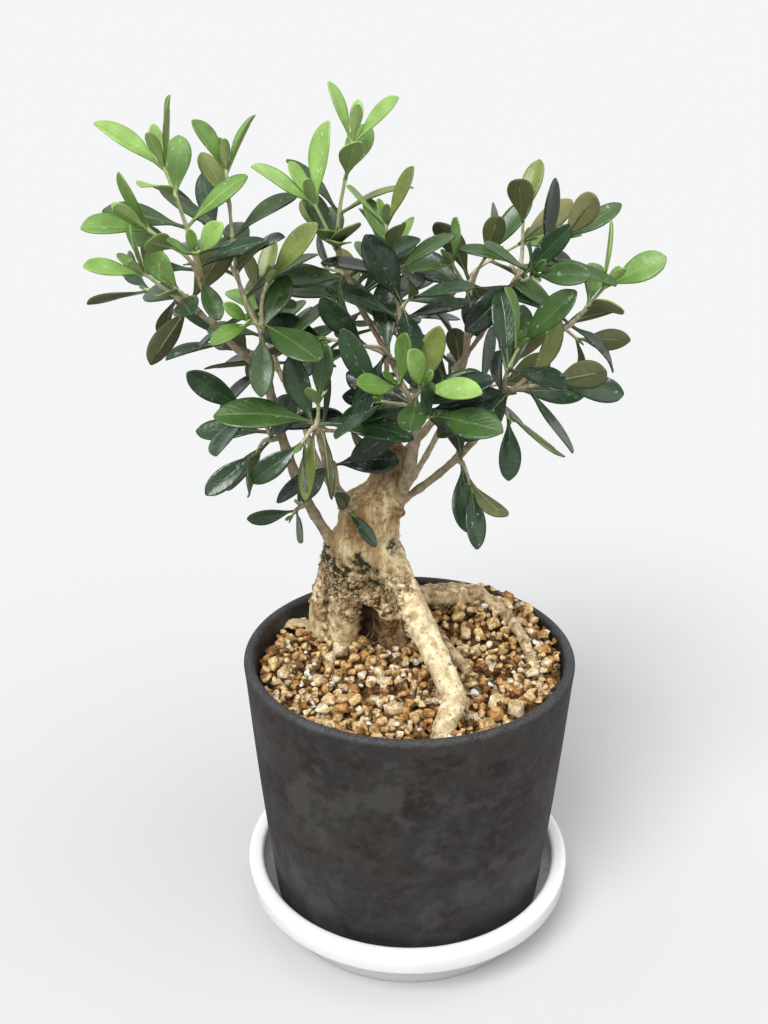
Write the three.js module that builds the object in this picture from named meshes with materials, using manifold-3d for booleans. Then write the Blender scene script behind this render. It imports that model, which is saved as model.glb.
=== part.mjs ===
// A small olive tree grown in bonsai style: a stout leaning trunk with bared roots, pruned
// boughs and leafy shoots, in a tapered charcoal pot that stands in a white saucer.
//
// Millimetres, +Z up. The origin is the centre of the saucer's flat underside. +X is the
// plant's right, +Y its back. Headings are degrees round +Z from +X towards +Y.

import * as THREE from "three";
import { mergeVertices } from "three/addons/utils/BufferGeometryUtils.js";
import Module from "manifold-3d";

const wasm = await Module();
wasm.setup();

// ---------------------------------------------------------------- driving dimensions

const CLEARANCE = 0.3; // gap kept between any two pieces

const SAUCER = {
  footRadius: 39.7,
  wallRadius: 44.2, // outside of the body where the rim's skirt starts
  rimRadius: 48.5,
  rimInnerRadius: 44.4,
  rimTop: 17.8,
  skirtBottom: 11.6,
  floorRadius: 38.6,
  floorThickness: 2.2,
  wall: 1.3,
  rounding: 0.9,
};

const POT = {
  height: 83.5,
  rimRadius: 47.0,
  baseRadius: 39.6,
  belly: 0.5, // how far the side stands proud of a straight taper
  footRounding: 2.0,
  wall: 3.05,
  floorThickness: 4.0,
  drainRadius: 6.0,
};
const POT_BASE = SAUCER.floorThickness + CLEARANCE;
const POT_RIM = POT_BASE + POT.height;
const SIDE_SHARES = [0.35, 0.7]; // heights at which the pot's side bends

const SOIL = {
  level: 78.0,
  heap: { x: 20, y: 25, spreadX: 14, spreadY: 12, height: 8.5 }, // mound under the arched root
  bank: { from: 12, to: 42, height: 4.0 }, // slow rise towards the right-hand wall
  seatRadius: 16.5, // flat seat under the trunk
  seatBlend: 8,
  rings: 7,
};

// The trunk: [height above the soil, centre X, centre Y, half width, half depth].
const TRUNK_BASE = SOIL.level + CLEARANCE;
const TRUNK_STATIONS = [
  [0, -15.0, 22.5, 15.4, 9.4],
  [10, -15.0, 20.0, 14.0, 9.4],
  [20, -14.5, 16.5, 12.8, 9.6],
  [28, -13.8, 13.7, 11.8, 9.6],
  [35, -13.9, 12.0, 10.5, 9.2],
  [42, -11.5, 11.0, 8.7, 8.6],
  [50.5, -10.0, 10.0, 8.4, 8.2],
  [54, -6.6, 10.0, 6.1, 6.0],
  [59, -5.3, 10.0, 5.1, 5.0],
  [66, -6.0, 10.0, 4.2, 4.2],
];
// Buttresses of the root flare: heading, half angle, how far they swell, height they die at.
const BUTTRESSES = [
  { heading: 180, spread: 13, swell: 0.06, top: 30 },
  { heading: 218, spread: 12, swell: -0.16, top: 24 }, // groove beside the left foot
  { heading: 249, spread: 13, swell: 0.1, top: 26 },
  { heading: 276, spread: 13, swell: -0.4, top: 28 }, // hollow between two buttresses
  { heading: 304, spread: 17, swell: 0.58, top: 32 },
  { heading: 35, spread: 20, swell: 0.14, top: 20 },
  { heading: 95, spread: 22, swell: 0.16, top: 24 },
  { heading: 140, spread: 18, swell: 0.12, top: 22 },
];

// A limb is walked like a path: each stretch is [length, heading, rise].
const ROOTS = {
  root_front: {
    start: [-6, 7, 111],
    stretches: [[12, 302, -36], [14, 296, -30], [13, 300, -38], [6, 294, -40], [9, 241, -44]],
    from: 4.4,
    to: 3.0,
  },
  root_middle: {
    start: [-6, 19, 93],
    stretches: [[13, 356, -38], [11, 302, -9], [17, 298, -12], [6, 296, -40]],
    from: 2.2,
    to: 1.2,
  },
  root_arch: {
    start: [-9, 22, 93],
    stretches: [[16, 32, -16], [11, 15, -3], [10, 320, 6]],
    from: 2.4,
    to: 1.9,
  },
  root_arch_end: {
    start: [22.4, 26.5, 89.1],
    stretches: [[5, 305, -3], [10, 300, -6], [11, 288, -12], [10, 282, -16], [9, 277, -34]],
    from: 1.9,
    to: 1.4,
  },
};

const BOUGHS = {
  bough_left: {
    start: [-20, 9, 112],
    stretches: [[21, 202, 63], [19, 218, 70], [21, 228, 75]],
    from: 2.4,
    to: 1.6,
  },
  bough_left_outer: {
    after: "bough_left",
    stretches: [[9, 199, 43], [8, 191, 50]],
    from: 1.4,
    to: 1.2,
  },
  bough_left_high: { after: "bough_left_outer", stretches: [[11, 200, 75]], from: 1.1, to: 0.9 },
  bough_left_low: { after: "bough_left_outer", stretches: [[8, 214, 45]], from: 1.0, to: 0.9 },
  bough_left_inner: { after: "bough_left", stretches: [[10, 268, 73]], from: 1.2, to: 1.0 },
  bough_left_front: {
    start: [-13, 6, 124],
    stretches: [[24, 238, 50], [16, 246, 65]],
    from: 1.5,
    to: 1.1,
  },
  bough_spur: {
    start: [-15.2, 4.9, 121.5],
    stretches: [[11, 218, 64], [10, 240, 74]],
    from: 1.4,
    to: 1.1,
  },
  bough_centre: {
    start: [-4, 8, 125],
    stretches: [[22, 290, 59], [16, 287, 71]],
    from: 2.6,
    to: 1.9,
  },
  bough_centre_upper: {
    after: "bough_centre",
    stretches: [[11, 114, 68], [11, 117, 60]],
    from: 1.4,
    to: 1.1,
  },
  bough_centre_left: {
    after: "bough_centre",
    stretches: [[17, 122, 41], [13, 148, 54]],
    from: 1.3,
    to: 1.0,
  },
  bough_right_low: {
    start: [-7, 10, 124],
    stretches: [[22, 334, 42], [15, 336, 49], [15, 336, 60]],
    from: 1.8,
    to: 1.2,
  },
  bough_right_outer: {
    after: "bough_right_low",
    stretches: [[9, 8, 39], [11, 18, 54]],
    from: 1.1,
    to: 0.9,
  },
  bough_back_right: {
    start: [-6, 12, 136],
    stretches: [[22, 24, 44], [15, 17, 64], [18, 291, 83]],
    from: 1.9,
    to: 1.2,
  },
  bough_right_upper: {
    start: [12, 18, 163],
    stretches: [[15, 315, 52], [19, 317, 57]],
    from: 1.2,
    to: 0.9,
  },
  bough_back: {
    start: [-9, 13, 125],
    stretches: [[20, 86, 50], [16, 78, 58], [12, 95, 66]],
    from: 1.9,
    to: 1.1,
  },
  bough_back_left: {
    start: [-14, 13, 118],
    stretches: [[20, 140, 44], [17, 132, 56], [12, 150, 62]],
    from: 1.8,
    to: 1.1,
  },
  bough_back_low: {
    start: [-6, 14, 121],
    stretches: [[20, 50, 38], [17, 46, 48]],
    from: 1.6,
    to: 1.1,
  },
};

// The foliage masses. Every shoot is a stretch path from the mass's foot; `pairs` opposite
// leaves stand along it, `leaf` is its longest leaf, `young` the share of that which the tip
// leaves have, and `roll` the turn of the tip pair (0 is across the front view).
const MASSES = {
  foliage_left_top: {
    on: "bough_left_high",
    seed: 11,
    shoots: [
      { path: [[11, 209, 79], [18, 203, 73]], pairs: 4, leaf: 20, young: 0.92, roll: 0 },
      { path: [[8, 241, 55], [12, 198, 39]], pairs: 3, leaf: 17, young: 0.9, roll: 15 },
      { path: [[9, 278, 36], [7, 272, 36]], pairs: 2, leaf: 14, young: 0.8, roll: 25 },
    ],
  },
  foliage_left_outer: {
    on: "bough_left_low",
    seed: 12,
    shoots: [
      { path: [[5, 207, 36], [10, 212, 41]], pairs: 2, leaf: 18, young: 0.85, roll: 20 },
      { path: [[12, 106, -7], [14, 145, 4]], pairs: 3, leaf: 19, young: 0.9, roll: 60 },
      { path: [[4, 263, 42], [5, 213, 43]], pairs: 1, leaf: 13, young: 1, roll: 80 },
    ],
  },
  foliage_left_inner: {
    on: "bough_left_inner",
    seed: 13,
    shoots: [
      { path: [[12, 159, 64], [29, 157, 85]], pairs: 5, leaf: 20, young: 0.75, roll: 20 },
      { path: [[9, 285, 76], [6, 313, 64]], pairs: 2, leaf: 21, young: 0.85, roll: 25 },
      { path: [[11, 125, 46], [18, 142, 57]], pairs: 3, leaf: 20, young: 0.85, roll: 60 },
      { path: [[7, 277, 28], [7, 250, 24]], pairs: 2, leaf: 16, young: 0.8, roll: 10 },
    ],
  },
  foliage_left_low: {
    foot: [-35.5, -0.3, 150],
    seed: 27,
    shoots: [
      { path: [[3, 225, 5], [4, 245, -30]], pairs: 2, leaf: 19, young: 0.95, roll: 70 },
      { path: [[8, 232, 62], [6, 232, 30]], pairs: 2, leaf: 21, young: 0.95, roll: 75 },
    ],
  },
  foliage_left_front: {
    on: "bough_left_front",
    seed: 14,
    shoots: [
      { path: [[3, 302, 68], [5, 276, 66]], pairs: 2, leaf: 24, young: 0.62, roll: 85 },
      { path: [[3, 240, -10], [4, 235, -35]], pairs: 2, leaf: 19, young: 0.9, roll: 80 },
      { path: [[4, 44, -30], [11, 51, -15]], pairs: 2, leaf: 18, young: 0.9, roll: 30 },
    ],
  },
  foliage_trunk_spur: {
    on: "bough_spur",
    seed: 15,
    shoots: [{ path: [[3, 255, 40], [3, 262, -20]], pairs: 2, leaf: 18, young: 0.7, roll: 80 }],
  },
  foliage_trunk_sprig: {
    foot: [-18.7, 1.0, 129.5],
    seed: 29,
    shoots: [{ path: [[2, 290, 20], [3, 300, 0]], pairs: 1, leaf: 12, young: 1, roll: 30 }],
  },
  foliage_left_sprig: {
    foot: [-28.8, 3.4, 129.5],
    seed: 30,
    shoots: [{ path: [[2, 240, 0], [3, 235, -25]], pairs: 1, leaf: 14, young: 1, roll: 60 }],
  },
  foliage_centre_front: {
    on: "bough_centre",
    seed: 16,
    shoots: [
      { path: [[8, 261, 40], [8, 286, 37]], pairs: 3, leaf: 18, young: 0.95, roll: 0 },
      { path: [[7, 249, 39], [9, 241, 40]], pairs: 2, leaf: 19, young: 0.9, roll: 30 },
      { path: [[7, 280, 4], [7, 288, 22]], pairs: 2, leaf: 21, young: 0.9, roll: 10 },
      { path: [[4, 232, 31], [10, 219, 19]], pairs: 2, leaf: 21, young: 0.95, roll: 50 },
    ],
  },
  foliage_centre_left: {
    foot: [-4.8, 1.8, 169.6],
    seed: 28,
    shoots: [
      { path: [[3, 250, 44], [8, 195, 25], [9, 180, 10]], pairs: 3, leaf: 21, young: 0.95, roll: 70 },
      { path: [[3, 250, 44], [6, 240, 35], [6, 225, 15]], pairs: 2, leaf: 19, young: 0.9, roll: 20 },
    ],
  },
  foliage_centre_upper: {
    on: "bough_centre_upper",
    seed: 17,
    shoots: [
      { path: [[8, 180, 85], [19, 225, 77]], pairs: 4, leaf: 18, young: 0.85, roll: 20 },
      { path: [[7, 279, 54], [6, 300, 40]], pairs: 3, leaf: 20, young: 0.85, roll: 30 },
    ],
  },
  foliage_centre_top: {
    on: "bough_centre_left",
    seed: 18,
    shoots: [
      { path: [[20, 213, 69], [25, 27, 80]], pairs: 5, leaf: 19, young: 0.9, roll: 0 },
      { path: [[22, 219, 64], [11, 216, 62]], pairs: 3, leaf: 20, young: 1, roll: 20 },
      { path: [[14, 213, 67], [6, 227, 63]], pairs: 2, leaf: 20, young: 0.8, roll: 80 },
      { path: [[10, 155, 62], [8, 132, 6]], pairs: 3, leaf: 18, young: 0.9, roll: 30 },
    ],
  },
  foliage_right_low: {
    on: "bough_right_low",
    seed: 19,
    shoots: [
      { path: [[6, 255, 45], [11, 306, 64]], pairs: 3, leaf: 21, young: 0.9, roll: 30 },
      { path: [[6, 300, 24], [9, 335, 16]], pairs: 3, leaf: 20, young: 0.9, roll: 60 },
      { path: [[3, 227, -32], [6, 300, -41]], pairs: 2, leaf: 19, young: 0.9, roll: 20 },
    ],
  },
  foliage_right_outer: {
    on: "bough_right_outer",
    seed: 20,
    shoots: [
      { path: [[5, 344, 43], [12, 344, 53]], pairs: 3, leaf: 18, young: 0.95, roll: 0 },
      { path: [[5, 83, 5], [10, 43, -33]], pairs: 2, leaf: 15, young: 0.9, roll: 20 },
    ],
  },
  foliage_right_hang: {
    foot: [12.6, -0.6, 144.2],
    seed: 21,
    shoots: [{ path: [[3, 285, 0], [6, 292, -40]], pairs: 2, leaf: 19, young: 0.95, roll: 60 }],
  },
  foliage_right_top: {
    on: "bough_back_right",
    seed: 22,
    shoots: [
      { path: [[6, 0, 73], [6, 319, 59]], pairs: 2, leaf: 19, young: 0.9, roll: 70 },
      { path: [[6, 241, 44], [8, 229, 49]], pairs: 2, leaf: 17, young: 0.85, roll: 20 },
      { path: [[7, 80, 36], [16, 16, 29]], pairs: 3, leaf: 19, young: 0.9, roll: 50 },
    ],
  },
  foliage_right_upper: {
    on: "bough_right_upper",
    seed: 23,
    shoots: [
      { path: [[5, 0, 81], [10, 255, 84]], pairs: 2, leaf: 18, young: 0.85, roll: 70 },
      { path: [[6, 333, 39], [10, 335, 45]], pairs: 3, leaf: 19, young: 0.9, roll: 60 },
      { path: [[7, 275, 4], [7, 286, 24]], pairs: 2, leaf: 18, young: 0.85, roll: 10 },
    ],
  },
  foliage_back: {
    on: "bough_back",
    seed: 24,
    shoots: [
      { path: [[9, 100, 68], [13, 70, 74]], pairs: 4, leaf: 20, young: 0.85, roll: 30 },
      { path: [[8, 60, 40], [11, 88, 30]], pairs: 3, leaf: 21, young: 0.85, roll: 0 },
      { path: [[8, 140, 36], [12, 120, 20]], pairs: 3, leaf: 20, young: 0.85, roll: 60 },
      { path: [[6, 20, 30], [9, 35, 12]], pairs: 2, leaf: 19, young: 0.9, roll: 20 },
    ],
  },
  foliage_back_left: {
    on: "bough_back_left",
    seed: 25,
    shoots: [
      { path: [[9, 150, 66], [14, 125, 72]], pairs: 4, leaf: 19, young: 0.85, roll: 60 },
      { path: [[8, 175, 38], [11, 190, 26]], pairs: 3, leaf: 20, young: 0.85, roll: 20 },
      { path: [[8, 110, 34], [11, 100, 16]], pairs: 3, leaf: 20, young: 0.85, roll: 50 },
    ],
  },
  foliage_back_low: {
    on: "bough_back_low",
    seed: 26,
    shoots: [
      { path: [[8, 60, 60], [10, 80, 66]], pairs: 3, leaf: 20, young: 0.85, roll: 0 },
      { path: [[7, 20, 30], [10, 8, 14]], pairs: 3, leaf: 20, young: 0.9, roll: 60 },
      { path: [[7, 85, 24], [9, 100, 4]], pairs: 3, leaf: 19, young: 0.9, roll: 30 },
    ],
  },
};

const TWIG = {
  sides: 3,
  baseRadius: 0.95,
  tipRadius: 0.65,
  stemRadius: 1.1, // the short stem that the shoots of a mass spring from
  stemLength: 2.4,
};

const LEAF = {
  widthRatio: 0.39,
  thicknessRatio: 0.036,
  outline: [[0, 0.07], [0.55, 1], [1, 0.42]], // [share of length, share of width]
  crest: [0.45, 0], // the thickest place
  testedFrom: 0.2, // the blade that must be clear starts at this share of the length
  tipSplay: 31, // degrees between leaf and shoot at the tip
  baseSplay: 78, // and at the foot
  lowest: -0.55, // how steeply a leaf may hang, as the fall along its length
  splayJitter: 9,
  rollJitter: 12,
  firstNode: 0.74, // share of the shoot that bears leaves
  tipInset: 0.9, // the youngest pair's roots are sunk this far below the twig's end
  light: 0.55, // how strongly the upper faces turn to the sky
  droop: 0.13, // how far the oldest leaves bend down, as a share of their length
};

// How a leaf that would touch something is turned [about the shoot, away from it], in degrees.
const LEAF_TRIES = [[0, 0], [18, 4], [-18, 4], [34, -8], [-34, -8], [0, 22], [12, -18]];

const COLOURS = {
  bark: 0xb9a079,
  root: 0xcdb78e,
  bough: 0x9c8468,
  leaf: 0x31562f,
  soil: 0xa9774a,
  pot: 0x3a3a3c,
  saucer: 0xf2f2f0,
};

const FINEST = [0.06, 0.04, 0.025, 0.012]; // detail a fused piece may lose, widest first
const WELD = 2e-3; // vertices closer than this become one
const LENS_TURN = Math.PI / 6; // puts an edge of the leaf's six-sided rim at its root
const ROUND = 36; // sides of what is turned
const UP = new THREE.Vector3(0, 0, 1);
const DEPTH = new THREE.Vector3(0, 1, 0);

// ---------------------------------------------------------------- small helpers

const radians = THREE.MathUtils.degToRad;

function direction(heading, rise) {
  const flat = Math.cos(radians(rise));
  return new THREE.Vector3(
    flat * Math.cos(radians(heading)),
    flat * Math.sin(radians(heading)),
    Math.sin(radians(rise)),
  );
}

function walk(start, stretches) {
  const points = [start.clone()];
  for (const [length, heading, rise] of stretches) {
    const last = points[points.length - 1];
    points.push(last.clone().addScaledVector(direction(heading, rise), length));
  }
  return points;
}

function randomFrom(seed) {
  let state = seed;
  return () => {
    state = (state * 1664525 + 1013904223) % 4294967296;
    return state / 4294967296;
  };
}

// Value of column `column` in rows keyed by their first number, on a smooth curve.
function along(rows, key, column) {
  let index = 0;
  while (index < rows.length - 2 && key > rows[index + 1][0]) index += 1;
  const row = (offset) => rows[THREE.MathUtils.clamp(index + offset, 0, rows.length - 1)];
  const share = THREE.MathUtils.clamp((key - row(0)[0]) / (row(1)[0] - row(0)[0]), 0, 1);
  const slope = (a, b) => (b[column] - a[column]) / (b[0] - a[0] || 1);
  const span = row(1)[0] - row(0)[0];
  const enter = slope(row(-1), row(1)) * span;
  const leave = slope(row(0), row(2)) * span;
  const [s2, s3] = [share ** 2, share ** 3];
  return (
    (2 * s3 - 3 * s2 + 1) * row(0)[column] +
    (s3 - 2 * s2 + share) * enter +
    (3 * s2 - 2 * s3) * row(1)[column] +
    (s3 - s2) * leave
  );
}

// ---------------------------------------------------------------- solids

function toSolid(geometry) {
  const bare = geometry.clone();
  bare.deleteAttribute("normal");
  bare.deleteAttribute("uv");
  const merged = mergeVertices(bare, WELD);
  return new wasm.Manifold(
    new wasm.Mesh({
      numProp: 3,
      vertProperties: new Float32Array(merged.attributes.position.array),
      triVerts: new Uint32Array(merged.index.array),
    }),
  );
}

function toGeometry(solid) {
  const mesh = solid.getMesh();
  const geometry = new THREE.BufferGeometry();
  geometry.setAttribute("position", new THREE.BufferAttribute(mesh.vertProperties, 3));
  geometry.setIndex(new THREE.BufferAttribute(mesh.triVerts, 1));
  geometry.computeVertexNormals();
  return geometry;
}

// The biggest body of a solid that a cut may have split: loose scraps are dropped.
function largestBody(solid) {
  const bodies = solid.decompose();
  bodies.sort((a, b) => b.volume() - a.volume());
  return bodies[0];
}

// Whether each edge lies between exactly two faces once equal corners are one.
function isClean(geometry) {
  const { index } = mergeVertices(geometry.clone().deleteAttribute("normal"), WELD / 2);
  const uses = new Map();
  for (let i = 0; i < index.count; i += 3) {
    for (let k = 0; k < 3; k += 1) {
      const ends = [index.getX(i + k), index.getX(i + ((k + 1) % 3))].sort((a, b) => a - b);
      if (ends[0] === ends[1]) return false;
      const key = ends.join(" ");
      uses.set(key, (uses.get(key) ?? 0) + 1);
    }
  }
  return [...uses.values()].every((count) => count === 2);
}

// A cut or fused solid as one body with few slivers.
function finished(solid) {
  let geometry;
  for (const loss of FINEST) {
    const lean = largestBody(solid.asOriginal().simplify(loss));
    geometry = toGeometry(largestBody(toSolid(toGeometry(lean)).simplify(loss)));
    if (isClean(geometry)) break;
  }
  return geometry;
}

function reshape(geometry, place) {
  const position = geometry.attributes.position;
  const point = new THREE.Vector3();
  for (let i = 0; i < position.count; i += 1) {
    point.fromBufferAttribute(position, i);
    place(point);
    position.setXYZ(i, point.x, point.y, point.z);
  }
  return geometry;
}

// A tapering limb along a smooth curve; `grow` fattens it and lengthens both ends.
function limbSolid(points, from, to, sides, steps, grow = 0) {
  const curve = new THREE.CatmullRomCurve3(points, false, "centripetal");
  const frames = curve.computeFrenetFrames(steps, false);
  const rod = new THREE.CylinderGeometry(1, 1, 1, sides, steps);
  const centre = new THREE.Vector3();
  reshape(rod, (point) => {
    const step = Math.round((point.y + 0.5) * steps);
    const radius = THREE.MathUtils.lerp(from, to, step / steps) + grow;
    curve.getPointAt(step / steps, centre);
    if (step === 0) centre.addScaledVector(frames.tangents[0], -grow);
    if (step === steps) centre.addScaledVector(frames.tangents[steps], grow);
    const { x, z } = point;
    point
      .copy(centre)
      .addScaledVector(frames.normals[step], x * radius)
      .addScaledVector(frames.binormals[step], -z * radius);
  });
  return toSolid(rod);
}

// ---------------------------------------------------------------- pot, saucer and soil

function arc(x, y, radius, fromDegrees, toDegrees, steps) {
  const points = [];
  for (let i = 0; i <= steps; i += 1) {
    const angle = radians(THREE.MathUtils.lerp(fromDegrees, toDegrees, i / steps));
    points.push(new THREE.Vector2(x + radius * Math.cos(angle), y + radius * Math.sin(angle)));
  }
  return points;
}

// A body of revolution about +Z from a profile of radius and height.
function turned(profile, segments) {
  const geometry = new THREE.LatheGeometry(profile, segments);
  return geometry.rotateX(Math.PI / 2);
}

function saucerGeometry() {
  const s = SAUCER;
  const profile = [
    new THREE.Vector2(0, 0),
    new THREE.Vector2(s.footRadius, 0),
    new THREE.Vector2(s.wallRadius, s.skirtBottom),
    new THREE.Vector2(s.wallRadius + 0.4, s.rimTop - s.wall),
    new THREE.Vector2(s.rimRadius - s.wall - 0.5, s.rimTop - s.wall),
    new THREE.Vector2(s.rimRadius - s.wall - 0.2, s.skirtBottom),
    new THREE.Vector2(s.rimRadius - 0.2, s.skirtBottom),
    ...arc(s.rimRadius - s.rounding, s.rimTop - s.rounding, s.rounding, 0, 90, 2),
    ...arc(s.rimInnerRadius + s.rounding - 0.8, s.rimTop - s.rounding, s.rounding, 90, 180, 2),
    new THREE.Vector2(s.wallRadius - s.wall, s.skirtBottom),
    new THREE.Vector2(s.floorRadius + 1, s.floorThickness + 1.6),
    new THREE.Vector2(s.floorRadius, s.floorThickness),
    new THREE.Vector2(0, s.floorThickness),
  ];
  return turned(profile, ROUND);
}

function potRadius(height) {
  const share = height / POT.height;
  const taper = THREE.MathUtils.lerp(POT.baseRadius, POT.rimRadius, share);
  return taper + POT.belly * Math.sin(Math.PI * share);
}

// Points of the pot's side, set in by some distance, at shares of its height.
function potSide(inset, shares) {
  return shares.map((share) => {
    const height = share * POT.height;
    return new THREE.Vector2(potRadius(height) - inset, POT_BASE + height);
  });
}

function potGeometry() {
  const p = POT;
  const rim = p.wall / 2;
  const floor = p.floorThickness / p.height;
  const profile = [
    new THREE.Vector2(p.drainRadius, POT_BASE),
    ...arc(p.baseRadius - p.footRounding, POT_BASE + p.footRounding, p.footRounding, -90, 0, 2),
    ...potSide(0, SIDE_SHARES),
    ...arc(p.rimRadius - rim, POT_RIM - rim, rim, 0, 180, 4),
    ...potSide(p.wall, [...SIDE_SHARES].reverse()),
    ...potSide(p.wall, [floor]),
    new THREE.Vector2(p.drainRadius, POT_BASE + p.floorThickness),
    new THREE.Vector2(p.drainRadius, POT_BASE),
  ];
  return turned(profile, ROUND);
}

// Height of the soil at a place: level round the trunk, heaped behind, banked to the right.
function soilHeight(x, y) {
  const { heap, bank } = SOIL;
  const spread = ((x - heap.x) / heap.spreadX) ** 2 + ((y - heap.y) / heap.spreadY) ** 2;
  const rise = heap.height * Math.exp(-spread / 2);
  const lift = bank.height * THREE.MathUtils.smoothstep(x, bank.from, bank.to);
  const [, trunkX, trunkY] = TRUNK_STATIONS[0];
  const away = Math.hypot(x - trunkX, y - trunkY);
  const clear = THREE.MathUtils.smoothstep(away, SOIL.seatRadius, SOIL.seatRadius + SOIL.seatBlend);
  return SOIL.level + clear * Math.min(rise + lift, heap.height);
}

function soilSolid(raise = 0) {
  const inset = POT.wall + CLEARANCE;
  const floor = (POT.floorThickness + CLEARANCE) / POT.height;
  const brim = (SOIL.level - POT_BASE) / POT.height;
  const side = potSide(inset, [floor, ...SIDE_SHARES, brim]);
  const edge = side[side.length - 1];
  const profile = [new THREE.Vector2(0, side[0].y), ...side];
  for (let ring = SOIL.rings - 1; ring >= 0; ring -= 1) {
    profile.push(new THREE.Vector2((edge.x * ring) / SOIL.rings, edge.y));
  }
  const heaped = reshape(turned(profile, ROUND), (point) => {
    if (point.z > SOIL.level - WELD) point.z = soilHeight(point.x, point.y) + raise;
  });
  return toSolid(heaped);
}

// ---------------------------------------------------------------- trunk

function trunkSolid(grow = 0) {
  const sides = 30;
  const steps = 20;
  const height = TRUNK_STATIONS[TRUNK_STATIONS.length - 1][0];
  const rod = new THREE.CylinderGeometry(1, 1, 1, sides, steps);
  rod.rotateX(Math.PI / 2);
  reshape(rod, (point) => {
    const level = (point.z + 0.5) * height;
    const angle = Math.atan2(point.y, point.x);
    const reach = Math.hypot(point.x, point.y);
    let swell = 1;
    for (const { heading, spread, swell: size, top } of BUTTRESSES) {
      const turn = Math.atan2(
        Math.sin(angle - radians(heading)),
        Math.cos(angle - radians(heading)),
      );
      const side = Math.exp(-((turn / radians(spread)) ** 2));
      const fade = THREE.MathUtils.clamp(1 - level / top, 0, 1) ** 1.2;
      swell += size * side * fade;
    }
    const halfWidth = along(TRUNK_STATIONS, level, 3) * swell + grow;
    const halfDepth = along(TRUNK_STATIONS, level, 4) * swell + grow;
    const end = level > height - 1e-6 ? grow : level < 1e-6 ? -grow : 0;
    point.set(
      along(TRUNK_STATIONS, level, 1) + Math.cos(angle) * reach * halfWidth,
      along(TRUNK_STATIONS, level, 2) + Math.sin(angle) * reach * halfDepth,
      TRUNK_BASE + level + end,
    );
  });
  return toSolid(rod);
}

// ---------------------------------------------------------------- leaves

// A leaf as a thin lens with a blunt tip, its root edge at the middle of the twig. With
// `grow` it is the fatter blade that is tested for room, which starts clear of the twig.
function leafSolid({ foot, axis, face, length, bend }, grow = 0) {
  const sideways = new THREE.Vector3().crossVectors(axis, face);
  const lens = new THREE.SphereGeometry(1, LEAF.outline.length * 2, 2, LENS_TURN);
  const begin = grow > 0 ? LEAF.testedFrom : 0;
  reshape(lens, (point) => {
    const { x, y, z } = point;
    const pole = Math.abs(y) > 0.5;
    const station = pole ? LEAF.crest : LEAF.outline[Math.round(x) + 1];
    const t = Math.max(station[0], begin);
    const half = pole ? 0 : (station[1] * LEAF.widthRatio * length) / 2 + grow;
    const thick = pole ? (LEAF.thicknessRatio * length) / 2 + grow : 0;
    point
      .copy(foot)
      .addScaledVector(axis, t * length)
      .addScaledVector(sideways, Math.sign(z) * half)
      .addScaledVector(face, Math.sign(y) * thick - bend * length * t * t);
  });
  return toSolid(lens);
}

// Where a leaf points: `turn` about the shoot, `splay` away from it. The upper face looks
// to the shoot's tip, and part of the way to the sky.
function leafStance(shootAxis, turn, splay) {
  const flat = new THREE.Vector3().crossVectors(DEPTH, shootAxis).normalize();
  const deep = new THREE.Vector3().crossVectors(shootAxis, flat);
  const outward = flat.multiplyScalar(Math.cos(turn)).addScaledVector(deep, Math.sin(turn));
  const axis = shootAxis.clone().multiplyScalar(Math.cos(splay));
  axis.addScaledVector(outward, Math.sin(splay));
  axis.setZ(Math.max(axis.z, LEAF.lowest)).normalize();
  const face = shootAxis.clone().multiplyScalar(Math.sin(splay));
  face.addScaledVector(outward, -Math.cos(splay)).addScaledVector(UP, LEAF.light);
  face.addScaledVector(axis, -face.dot(axis)).normalize(); // square to the leaf
  return { axis, face };
}

// ---------------------------------------------------------------- the crown

// A solid with its box, so that most pairs are told apart without a cut.
function boxed(solid, owner) {
  const { min, max } = solid.boundingBox();
  return { solid, owner, min, max };
}

function overlaps(a, b) {
  for (let i = 0; i < 3; i += 1) {
    if (a.min[i] > b.max[i] || b.min[i] > a.max[i]) return false;
  }
  const common = a.solid.intersect(b.solid);
  const met = !common.isEmpty();
  common.delete();
  return met;
}

// Cuts away what lies within the clearance of limbs that are already there.
function clearOf(solid, fattened) {
  let clear = solid;
  const own = boxed(solid, null);
  for (const limb of fattened) {
    if (overlaps(own, limb)) clear = clear.subtract(limb.solid);
  }
  return largestBody(clear);
}

function growLimb(spec, start, sides, steps, fattened) {
  const points = walk(start, spec.stretches);
  const solid = clearOf(limbSolid(points, spec.from, spec.to, sides, steps), fattened);
  const fat = limbSolid(points, spec.from, spec.to, sides, steps, CLEARANCE);
  return { solid, fat, points };
}

// The twigs of one mass: a short stem, and the shoots that spring from it.
function growTwigs(name, mass, footing) {
  const stemAxis = footing.axis;
  const foot = footing.point.clone().addScaledVector(stemAxis, CLEARANCE);
  const stemEnd = foot.clone().addScaledVector(stemAxis, TWIG.stemLength);
  const stem = limbSolid([foot, stemEnd], TWIG.stemRadius, TWIG.stemRadius, 5, 1);
  const fork = foot.clone().lerp(stemEnd, 0.5);
  const shoots = mass.shoots.map((shoot) => {
    const points = walk(fork, shoot.path);
    const steps = Math.max(3, Math.round(points.length * 1.4));
    const solid = limbSolid(points, TWIG.baseRadius, TWIG.tipRadius, TWIG.sides, steps);
    const curve = new THREE.CatmullRomCurve3(points, false, "centripetal");
    return { ...shoot, curve, twig: boxed(solid, name) };
  });
  return { name, mass, stem: boxed(stem, name), shoots };
}

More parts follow.
